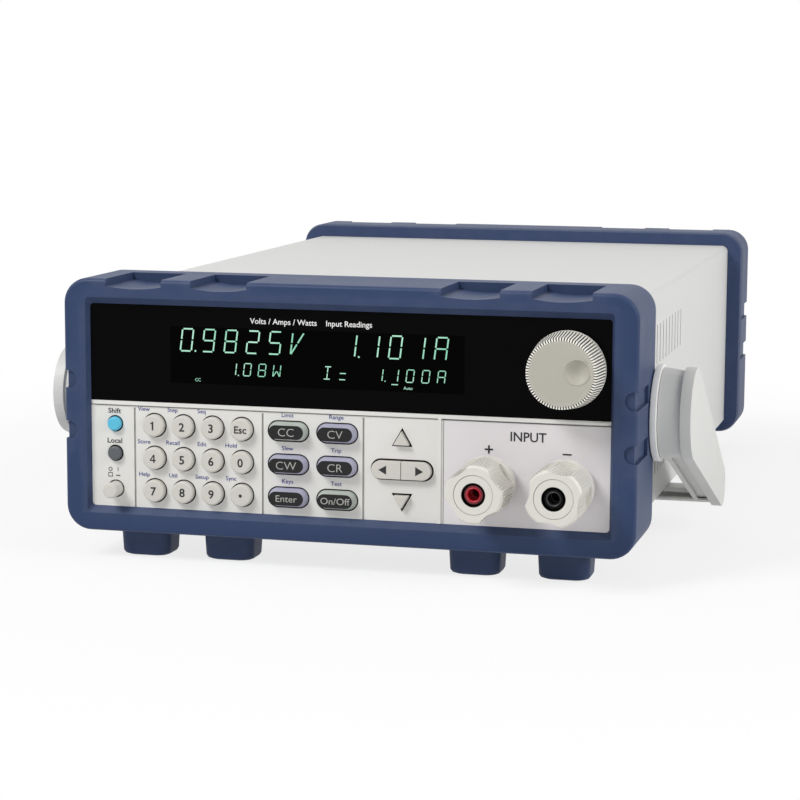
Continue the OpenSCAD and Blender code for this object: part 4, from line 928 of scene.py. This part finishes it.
def ink_bar(shape, x, y, z, width, height, lean=0.0):
    made = bmesh.ops.create_grid(shape, x_segments=1, y_segments=1, size=0.5)["verts"]
    place = (Matrix.Translation((x, y, z)) @ UPRIGHT
             @ Matrix.Rotation(lean, 4, "Z") @ Matrix.Diagonal((width, height, 1, 1)))
    bmesh.ops.transform(shape, matrix=place, verts=made)


print("the font's capital H is", round(CAP_HEIGHT, 3), "high at size 1")

# %% [markdown]
# Digits sit on the key caps and move with them, so each key carries its own ink.
# Bars lengthen the flag of the 1 and draw the whole 4, because the font's own 4 fills in at this weight. A
# bar's row gives its place, length and thickness as shares of the digit's height, and its lean in degrees.

# %% Digits on the round keys
DIGIT_HEIGHT, WORD_HEIGHT = 3.2 * MM, 2.7 * MM
DIGIT_WEIGHT = 0.022
DRAWN_STROKES = {
    "1": ((-0.16, 0.34, 0.31, 0.125, 38),),
    "4": ((0.14, 0.0, 0.17, 1.0, 0), (-0.02, -0.2, 0.76, 0.15, 0), (-0.1, 0.16, 0.84, 0.14, 56)),
}
DRAWN_WHOLE = ("4",)


def print_on_key(key, words):
    low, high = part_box(key)
    height = DIGIT_HEIGHT if len(words) == 1 else WORD_HEIGHT
    ink = bmesh.new()
    x, y, z = (low.x + high.x) / 2, low.y - INK_LIFT, (low.z + high.z) / 2
    for share_x, share_z, length, thickness, lean in DRAWN_STROKES.get(words, ()):
        ink_bar(ink, x + share_x * height, y, z + share_z * height, length * height, thickness * height,
                math.radians(lean))
    if words not in DRAWN_WHOLE:
        add_words(ink, words, x, y, z, height, DIGIT_WEIGHT)
    add_piece("ink_" + key, ink, body_of(key), "black_print")


for key, words in ROUND_LABELS.items():
    print_on_key(key, words)
print("printed", len(ROUND_LABELS), "round keys")

# %% [markdown]
# The oval keys have a black inlay with pale letters. The inlay is a slim cube whose upright edges are rolled
# by the bevel operator until its ends are round, and it is let into the key's face. Two-letter words are
# printed taller and lighter than longer ones.

# %% Inlays and letters on the oval keys
OVAL_FACE_WIDTH = 13.96 * MM
OVAL_FACE_HEIGHT = 5.38 * MM
INLAY_THICKNESS = 0.16 * MM
END_ROLL = 0.499
TALL_LETTERS, SMALL_LETTERS = (3.1 * MM, -0.012), (2.55 * MM, -0.004)
LETTER_STRETCH = 1.08


def stadium_plate(x, y, z, width, height, thickness):
    plate = bmesh.new()
    bmesh.ops.create_cube(plate, size=1.0)
    bmesh.ops.scale(plate, vec=Vector((width, thickness, height)), verts=plate.verts)
    corners = [e for e in plate.edges if abs(e.verts[0].co.y - e.verts[1].co.y) > thickness / 2]
    bmesh.ops.bevel(plate, geom=corners, offset=height * END_ROLL, offset_type="OFFSET", affect="EDGES",
                    segments=10, profile=0.5, material=-1)
    bmesh.ops.translate(plate, vec=Vector((x, y, z)), verts=plate.verts)
    return plate


for key, words in OVAL_LABELS.items():
    front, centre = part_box(key)[0].y, middle_of(key)
    plate = stadium_plate(centre.x, front, centre.z, OVAL_FACE_WIDTH, OVAL_FACE_HEIGHT, INLAY_THICKNESS)
    add_piece("inlay_" + key, plate, body_of(key), "oval_face_black")
    letter, weight = TALL_LETTERS if len(words) == 2 else SMALL_LETTERS
    ink = bmesh.new()
    add_words(ink, words, centre.x, front - INLAY_THICKNESS / 2 - INK_LIFT, centre.z, letter, weight,
              LETTER_STRETCH)
    add_piece("ink_" + key, ink, body_of(key), "grey_print")
print("printed", len(OVAL_LABELS), "oval keys")

# %% [markdown]
# The left and right halves of the long key carry a solid black triangle each.
# A triangle is a circle of three points, turned to point the right way and stretched to size.

# %% Arrow marks
MARK_LENGTH, MARK_HEIGHT = 2.1 * MM, 2.05 * MM


def arrow_mark(key, turn):
    low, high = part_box(key)
    mark = bmesh.new()
    bmesh.ops.create_circle(mark, cap_ends=True, segments=3, radius=1.0)
    place = (Matrix.Translation(((low.x + high.x) / 2, low.y - INK_LIFT, (low.z + high.z) / 2))
             @ UPRIGHT @ Matrix.Rotation(turn, 4, "Z") @ Matrix.Diagonal((MARK_HEIGHT, MARK_LENGTH, 1, 1)))
    bmesh.ops.transform(mark, matrix=place, verts=mark.verts)
    face_front(mark)
    add_piece("mark_" + key, mark, body_of(key), "black_print")


arrow_mark("key_left", math.radians(90))
arrow_mark("key_right", math.radians(-90))
print("marked the left and right keys")

# %% [markdown]
# Blue words above the keys name their second use. They are general words for such an instrument.
# They are ink on the front panel, so they ride the chassis and stay when a key is pressed.

# %% Blue legends
SECOND_USES = {
    "key_1": "View", "key_2": "Step", "key_3": "Seq", "key_4": "Store", "key_5": "Recall",
    "key_6": "Edit", "key_0": "Hold", "key_7": "Help", "key_8": "Util", "key_9": "Setup",
    "key_point": "Sync", "key_cc": "Limit", "key_cv": "Range", "key_cw": "Slew", "key_cr": "Trip",
    "key_enter": "Keys", "key_on_off": "Test",
}
BLUE_HEIGHT, BLUE_WEIGHT, BLUE_STRETCH = 1.6 * MM, 0.004, 1.05
BLUE_RISE = 6.3 * MM
OVAL_ASIDE, ROUND_ASIDE = -0.4 * MM, -4.6 * MM
ink_y = panel_face_y - INK_LIFT
blue = bmesh.new()
for key, words in SECOND_USES.items():
    centre = middle_of(key)
    aside = OVAL_ASIDE if key in OVAL_LABELS else ROUND_ASIDE
    add_words(blue, words, centre.x + aside, ink_y, centre.z + BLUE_RISE, BLUE_HEIGHT, BLUE_WEIGHT,
              BLUE_STRETCH)
add_piece("blue_legends", blue, "chassis", "blue_print")
print("printed", len(SECOND_USES), "blue legends")

# %% [markdown]
# Black words name the two small keys and the input, and signs mark its poles and the power button's states.
# A table row gives the words, the point they belong to, how far right of it and above it they stand, and
# their height, all in millimetres, then their weight and stretch. Bars draw the button's two small signs.

# %% Dark legends and the window's caption
shift, local, power = middle_of("key_shift"), middle_of("key_local"), middle_of("power_button")
plus, minus = middle_of("positive_cap"), middle_of("negative_cap")
minus_spot = Vector((minus.x, 0, plus.z))
between = Vector(((plus.x + minus.x) / 2, 0, plus.z))
DARK_WORDS = (
    ("Shift", shift, -0.3, 5.1, 1.9, 0.014, 1.1), ("Local", local, -0.3, 5.0, 1.9, 0.014, 1.1),
    ("+", plus, 0.0, 13.0, 4.4, 0.012, 1.0), ("–", minus_spot, 0.0, 13.0, 4.4, 0.012, 1.0),
    ("INPUT", between, 0.0, 18.4, 3.5, 0.012, 0.97),
    ("O", power, -2.3, 7.7, 1.5, 0.012, 1.0), ("I", power, 0.9, 7.7, 1.5, 0.012, 1.0),
)
POWER_BARS = ((-2.3, 6.25, 1.8, 0.25), (-2.3, 4.75, 1.8, 0.25), (-3.1, 5.5, 0.25, 1.6),
              (-1.5, 5.5, 0.25, 1.6), (0.9, 5.2, 1.8, 0.4))
CAPTION = "Volts / Amps / Watts    Input Readings"
CAPTION_X, CAPTION_DROP = -13.4 * MM, 5.8 * MM
CAPTION_HEIGHT, CAPTION_WEIGHT, CAPTION_STRETCH = 2.1 * MM, 0.012, 1.02
dark, white = bmesh.new(), bmesh.new()
for words, spot, right, rise, height, weight, stretch in DARK_WORDS:
    add_words(dark, words, spot.x + right * MM, ink_y, spot.z + rise * MM, height * MM, weight, stretch)
for right, rise, width, height in POWER_BARS:
    ink_bar(dark, power.x + right * MM, ink_y, power.z + rise * MM, width * MM, height * MM)
add_piece("dark_legends", dark, "chassis", "black_print")
add_words(white, CAPTION, CAPTION_X, window_face_y - INK_LIFT, window_high.z - CAPTION_DROP, CAPTION_HEIGHT,
          CAPTION_WEIGHT, CAPTION_STRETCH)
add_piece("window_caption", white, "chassis", "white_print")
print("printed", len(DARK_WORDS), "dark legends and the window's caption")

# %% [markdown]
# The serial socket has details too fine for the frame: nine contacts in its black slanted face, and a
# hexagonal post on each side of it. Each is a cone operator's prism or a slim cube, set at its own face.

# %% Serial socket
SOCKET_WIDTH, SOCKET_HEIGHT, SOCKET_SLANT = 15.2 * MM, 6.6 * MM, 0.9 * MM
SOCKET_SHEET = 0.1 * MM
CONTACT_PITCH, CONTACT_ROW = 2.77 * MM, 1.42 * MM
CONTACT_RADIUS, CONTACT_DEPTH, CONTACT_LIFT = 0.55 * MM, 0.1 * MM, 0.04 * MM
POST_OFF, POST_RADIUS, POST_LENGTH = 12.5 * MM, 2.7 * MM, 4.0 * MM
rear_face_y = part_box("rear_panel")[1].y
serial, serial_back = middle_of("serial_port"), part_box("serial_port")[1].y


def upright_prism(shape, x, y, z, radius, depth, sides):
    made = bmesh.ops.create_cone(shape, cap_ends=True, segments=sides, radius1=radius, radius2=radius,
                                 depth=depth)["verts"]
    bmesh.ops.transform(shape, matrix=Matrix.Translation((x, y, z)) @ UPRIGHT, verts=made)


socket_face, contacts, posts = bmesh.new(), bmesh.new(), bmesh.new()
bmesh.ops.create_cube(socket_face, size=1.0)
for corner in socket_face.verts:
    slant = SOCKET_SLANT if corner.co.z < 0 else 0.0
    corner.co.x *= SOCKET_WIDTH - 2 * slant
bmesh.ops.scale(socket_face, vec=Vector((1, SOCKET_SHEET, SOCKET_HEIGHT)), verts=socket_face.verts)
bmesh.ops.translate(socket_face, vec=Vector((serial.x, serial_back, serial.z)), verts=socket_face.verts)
for row, count in ((1, 5), (-1, 4)):
    for index in range(count):
        contact_x = serial.x + (index - (count - 1) / 2) * CONTACT_PITCH
        upright_prism(contacts, contact_x, serial_back + CONTACT_LIFT, serial.z + row * CONTACT_ROW,
                      CONTACT_RADIUS, CONTACT_DEPTH, 12)
for side in (-1, 1):
    upright_prism(posts, serial.x + side * POST_OFF, rear_face_y + POST_LENGTH / 2, serial.z, POST_RADIUS,
                  POST_LENGTH, 6)
add_piece("serial_face", socket_face, "chassis", "black_moulding")
add_piece("serial_contacts", contacts, "chassis", "stud_brass")
add_piece("serial_posts", posts, "chassis", "bright_steel")
print("dressed the serial socket at y =", round(serial_back / MM, 1), "mm")

# %% [markdown]
# Every screw head at the rear has a driver's cross, laid on it as two dark bars that paint the shade in its
# recess.
# The words beside the connectors are turned half round, so that they read from behind.

# %% Screw crosses in painted shade, and rear legends
REAR_TURN = math.radians(180)
REAR_LETTER, REAR_WEIGHT = 2.6 * MM, 0.01
SCREW_HEAD_RADIUS = 2.8 * MM
CROSS_LENGTH, CROSS_WIDTH, CROSS_SHEET = 3.2 * MM, 0.7 * MM, 0.06 * MM
REAR_WORDS = (("SENSE", middle_of("sense_block"), 11.0), ("SERIAL", serial, 10.0),
              ("AC LINE", middle_of("mains_inlet"), 17.5))
screws_low, screws_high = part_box("case_screws")
cross_shades, rear_words = bmesh.new(), bmesh.new()
for x in (screws_low.x + SCREW_HEAD_RADIUS, screws_high.x - SCREW_HEAD_RADIUS):
    for z in (screws_low.z + SCREW_HEAD_RADIUS, screws_high.z - SCREW_HEAD_RADIUS):
        for width, height in ((CROSS_LENGTH, CROSS_WIDTH), (CROSS_WIDTH, CROSS_LENGTH)):
            made = bmesh.ops.create_cube(cross_shades, size=1.0)["verts"]
            bmesh.ops.scale(cross_shades, vec=Vector((width, CROSS_SHEET, height)), verts=made)
            bmesh.ops.translate(cross_shades, vec=Vector((x, screws_high.y, z)), verts=made)
for words, spot, rise in REAR_WORDS:
    add_words(rear_words, words, spot.x, rear_face_y + INK_LIFT, spot.z + rise * MM, REAR_LETTER,
              REAR_WEIGHT, turn=REAR_TURN)
# The dark bars are painted shade standing for the recess of each cross.
add_piece("screw_cross_shades", cross_shades, "chassis", "well_black")
add_piece("rear_legends", rear_words, "chassis", "black_print")
print("dressed the rear at y =", round(rear_face_y / MM, 1), "mm")

# %% [markdown]
# The display shows slanted segment characters, which no ordinary font has, so they are built from strokes.
# Each stroke is a slim plate made from a cube and turned along its line, and the ends of the lines are
# shifted so that the character leans. One table gives the strokes on a square of one by one, and a second
# lists which strokes light for a character.

# %% Segment characters
STROKES = {
    "a": ((0, 1), (1, 1)), "b": ((1, 1), (1, 0.5)), "c": ((1, 0.5), (1, 0)), "d": ((0, 0), (1, 0)),
    "e": ((0, 0.5), (0, 0)), "f": ((0, 1), (0, 0.5)), "g": ((0, 0.5), (1, 0.5)),
    "j": ((1, 1), (0.5, 0.5)), "k": ((0.5, 0.5), (0, 0)), "m": ((0.5, 0.5), (1, 0)),
    "i": ((0.5, 1), (0.5, 0.5)), "l": ((0.5, 0.5), (0.5, 0)),
}
LIT = {
    "0": "abcdef", "1": "bc", "2": "abged", "5": "afgcd", "8": "abcdefg", "9": "abcdfg",
    "V": "fekj", "A": "abcefg", "W": "fekmcb", "I": "adil", "=": "gd",
}
LEAN = math.tan(math.radians(7))
PLATE = 0.04 * MM
STROKE_GAP = 1.2
GLOW_LIFT = 0.06 * MM
glow_y = window_face_y - GLOW_LIFT


def glow_stroke(shape, start, end, stroke_width):
    along = end - start
    made = bmesh.ops.create_cube(shape, size=1.0)["verts"]
    length = max(along.length - STROKE_GAP * stroke_width, stroke_width)
    place = (Matrix.Translation((start + end) / 2)
             @ Matrix.Rotation(-math.atan2(along.z, along.x), 4, "Y")
             @ Matrix.Diagonal((length, PLATE, stroke_width, 1)))
    bmesh.ops.transform(shape, matrix=place, verts=made)


def glow_character(shape, sign, x, z, width, height, stroke_width):
    def spot(across, rise):
        return Vector((x + across * width + rise * height * LEAN, glow_y, z + rise * height))
    for stroke in LIT[sign]:
        start, end = STROKES[stroke]
        glow_stroke(shape, spot(*start), spot(*end), stroke_width)


def glow_dot(shape, x, z, size):
    made = bmesh.ops.create_cube(shape, size=1.0)["verts"]
    bmesh.ops.scale(shape, vec=Vector((size, PLATE, size)), verts=made)
    bmesh.ops.translate(shape, vec=Vector((x, glow_y, z)), verts=made)


print("the table knows", len(LIT), "characters")

# %% [markdown]
# The tube's dark glass shows through the lens, with volts and amps in large figures and the power and the
# set current in small ones below. The lens has a solid dark finish here, so the glass is a thin sheet laid on
# its face, and all that glows is gathered into one piece just in front of it. A row of the table gives the
# characters, where the first one stands, its height on the tube, the pitch and the size of the figures.

# %% Lit display
SCREEN_LIFT, SCREEN_SHEET = 0.02 * MM, 0.03 * MM
BIG = (4.5 * MM, 8.7 * MM, 0.56 * MM)
SMALL = (2.8 * MM, 4.8 * MM, 0.36 * MM)
BIG_DROP, SMALL_RISE = 9.6 * MM, 3.8 * MM
DOT_BACK, DOT_RISE, DOT_SIZE = 0.62, 0.2, 1.1
CURSOR_START, CURSOR_END, CURSOR_DROP = 18.6 * MM, 21.6 * MM, 1.1 * MM
NOTE_RISE, NOTE_HEIGHT = 1.5 * MM, 1.2 * MM
big_z = screen_high.z - BIG_DROP
small_z = screen_low.z + SMALL_RISE
READOUT = (
    ("0.9825V", -66.6, big_z, 9.0, BIG), ("1.101A", -0.4, big_z, 9.0, BIG),
    ("1.08W", -46.8, small_z, 6.0, SMALL), ("I=", -8.4, small_z, 6.2, SMALL),
    ("1.100A", 12.2, small_z, 6.15, SMALL),
)


def glow_row(shape, words, x, z, pitch, width, height, stroke_width):
    for sign in words:
        if sign == ".":
            dot_x = x - (pitch - width) * DOT_BACK
            glow_dot(shape, dot_x, z + stroke_width * DOT_RISE, stroke_width * DOT_SIZE)
            continue
        glow_character(shape, sign, x, z, width, height, stroke_width)
        x += pitch


screen, glow = bmesh.new(), bmesh.new()
bmesh.ops.create_cube(screen, size=1.0)
screen_size = Vector((screen_high.x - screen_low.x, SCREEN_SHEET, screen_high.z - screen_low.z))
screen_place = Vector(((screen_low.x + screen_high.x) / 2, window_face_y - SCREEN_LIFT,
                       (screen_low.z + screen_high.z) / 2))
bmesh.ops.scale(screen, vec=screen_size, verts=screen.verts)
bmesh.ops.translate(screen, vec=screen_place, verts=screen.verts)
add_piece("display_screen", screen, "chassis", "screen_black")
for words, x, z, pitch, size in READOUT:
    glow_row(glow, words, x * MM, z, pitch * MM, *size)
cursor_z = small_z - CURSOR_DROP
glow_stroke(glow, Vector((CURSOR_START, glow_y, cursor_z)), Vector((CURSOR_END, glow_y, cursor_z)), SMALL[2])
for words, x in (("CC", -59.4), ("Auto", 25.4)):
    add_words(glow, words, x * MM, glow_y, screen_low.z + NOTE_RISE, NOTE_HEIGHT)
add_piece("display_readout", glow, "chassis", "phosphor_glow")
print("lit the readout at z =", round(big_z / MM, 1), "and", round(small_z / MM, 1), "mm")

# %% [markdown]
# The instrument stands on a pale floor in a plain room. The floor takes the shadow close to the object and
# fades to white further out, so that no horizon shows. For the camera the world is plain white, while it
# lights the object at a quieter level: Light Path tells the two apart.

# %% Floor and world
FLOOR_HALF, FLOOR_DROP = 4.0, 0.2 * MM
FLOOR_TONE = 0.86
FLOOR_FADE = {"From Min": 0.12, "From Max": 0.5, "To Min": 0.78, "To Max": 1.0}
ROOM_LIGHT = 0.34
scene = bpy.context.scene
scene.view_settings.view_transform = "Standard"


def make_paper():
    material = bpy.data.materials.new("pale_floor")
    material.use_nodes = True
    tree = material.node_tree
    tree.nodes.remove(tree.nodes["Principled BSDF"])
    paper = tree.nodes.new("ShaderNodeBsdfDiffuse")
    paper.inputs["Color"].default_value = (FLOOR_TONE, FLOOR_TONE, FLOOR_TONE, 1)
    glow_paper = tree.nodes.new("ShaderNodeEmission")
    glow_paper.inputs["Strength"].default_value = 1.0
    path = tree.nodes.new("ShaderNodeLightPath")
    seen = maths(tree, "MAXIMUM", path.outputs["Is Camera Ray"], path.outputs["Is Glossy Ray"])
    place = tree.nodes.new("ShaderNodeTexCoord")
    far = tree.nodes.new("ShaderNodeVectorMath")
    far.operation = "LENGTH"
    wire(tree, place.outputs["Object"], far.inputs[0])
    fade = tree.nodes.new("ShaderNodeMapRange")
    fade.interpolation_type = "SMOOTHSTEP"
    for title, value in FLOOR_FADE.items():
        fade.inputs[title].default_value = value
    wire(tree, far.outputs["Value"], fade.inputs["Value"])
    mix = tree.nodes.new("ShaderNodeMixShader")
    wire(tree, maths(tree, "MULTIPLY", seen, fade.outputs["Result"]), mix.inputs[0])
    wire(tree, paper.outputs[0], mix.inputs[1])
    wire(tree, glow_paper.outputs[0], mix.inputs[2])
    wire(tree, mix.outputs[0], tree.nodes["Material Output"].inputs["Surface"])
    return material


def make_floor():
    shape = bmesh.new()
    bmesh.ops.create_grid(shape, x_segments=1, y_segments=1, size=FLOOR_HALF)
    bmesh.ops.translate(shape, vec=Vector((0, 0, -FLOOR_DROP)), verts=shape.verts)
    floor = bpy.data.objects.new("floor", mesh_from(shape, "floor"))
    scene.collection.objects.link(floor)
    floor.data.materials.append(make_paper())


def make_world():
    world = bpy.data.worlds.new("studio")
    scene.world = world
    world.use_nodes = True
    tree = world.node_tree
    room = tree.nodes["Background"]
    room.inputs["Color"].default_value = (1, 1, 1, 1)
    path = tree.nodes.new("ShaderNodeLightPath")
    seen = maths(tree, "MAXIMUM", path.outputs["Is Camera Ray"], path.outputs["Is Glossy Ray"])
    seen = maths(tree, "MAXIMUM", seen, path.outputs["Is Transmission Ray"])
    wire(tree, maths(tree, "MULTIPLY_ADD", seen, 1 - ROOM_LIGHT, ROOM_LIGHT), room.inputs["Strength"])


make_floor()
make_world()
print("floor and world ready, room light", ROOM_LIGHT)

# %% [markdown]
# A broad soft lamp stands high on the left, and a weaker one on the right fills the shaded side.
# Area lamps give soft shadows, and each is turned so that it looks at a point in the instrument.
# A lamp's row gives its place and aim in metres, its size in metres and its power in watts.

# %% Lamps
LAMPS = {
    "key_lamp": ((-0.9, -1.2, 1.5), (0, -0.1, 0.06), 0.7, 27),
    "side_lamp": ((1.5, -0.4, 0.7), (0, -0.05, 0.06), 0.9, 13),
}


def soft_lamp(name, place, aim, size, power):
    data = bpy.data.lights.new(name, "AREA")
    data.size = size
    data.energy = power
    lamp = bpy.data.objects.new(name, data)
    scene.collection.objects.link(lamp)
    lamp.location = place
    lamp.rotation_euler = (Vector(aim) - Vector(place)).to_track_quat("-Z", "Y").to_euler()


for name, values in LAMPS.items():
    soft_lamp(name, *values)
print("lit by", len(LAMPS), "lamps")

# %% [markdown]
# The camera stands where the photograph was taken from: to the right and a little above, with a long lens.
# Its directions are built from the measured yaw, pitch and a trace of roll.

# %% Camera
CAMERA_PLACE = (0.2499, -1.0316, 0.1969)
CAMERA_LENS, CAMERA_SENSOR = 106.8, 36.0
yaw, pitch, roll = math.radians(14.68), math.radians(8.15), math.radians(0.28)
forward = Vector((-math.sin(yaw) * math.cos(pitch), math.cos(yaw) * math.cos(pitch), -math.sin(pitch)))
level_right = Vector((math.cos(yaw), math.sin(yaw), 0))
level_up = level_right.cross(forward)
right = level_right * math.cos(roll) + level_up * math.sin(roll)
up = level_up * math.cos(roll) - level_right * math.sin(roll)
lens = bpy.data.cameras.new("photo_camera")
lens.sensor_width = CAMERA_SENSOR
lens.sensor_fit = "HORIZONTAL"
lens.lens = CAMERA_LENS
camera = bpy.data.objects.new("photo_camera", lens)
scene.collection.objects.link(camera)
facing = Matrix((right, up, -forward)).transposed().to_4x4()
camera.matrix_world = Matrix.Translation(CAMERA_PLACE) @ facing
scene.camera = camera
print("camera at", [round(v, 3) for v in camera.matrix_world.translation])

# %% [markdown]
# Last, the script says that the scene is dressed.

# %% Done
print("scene dressed")
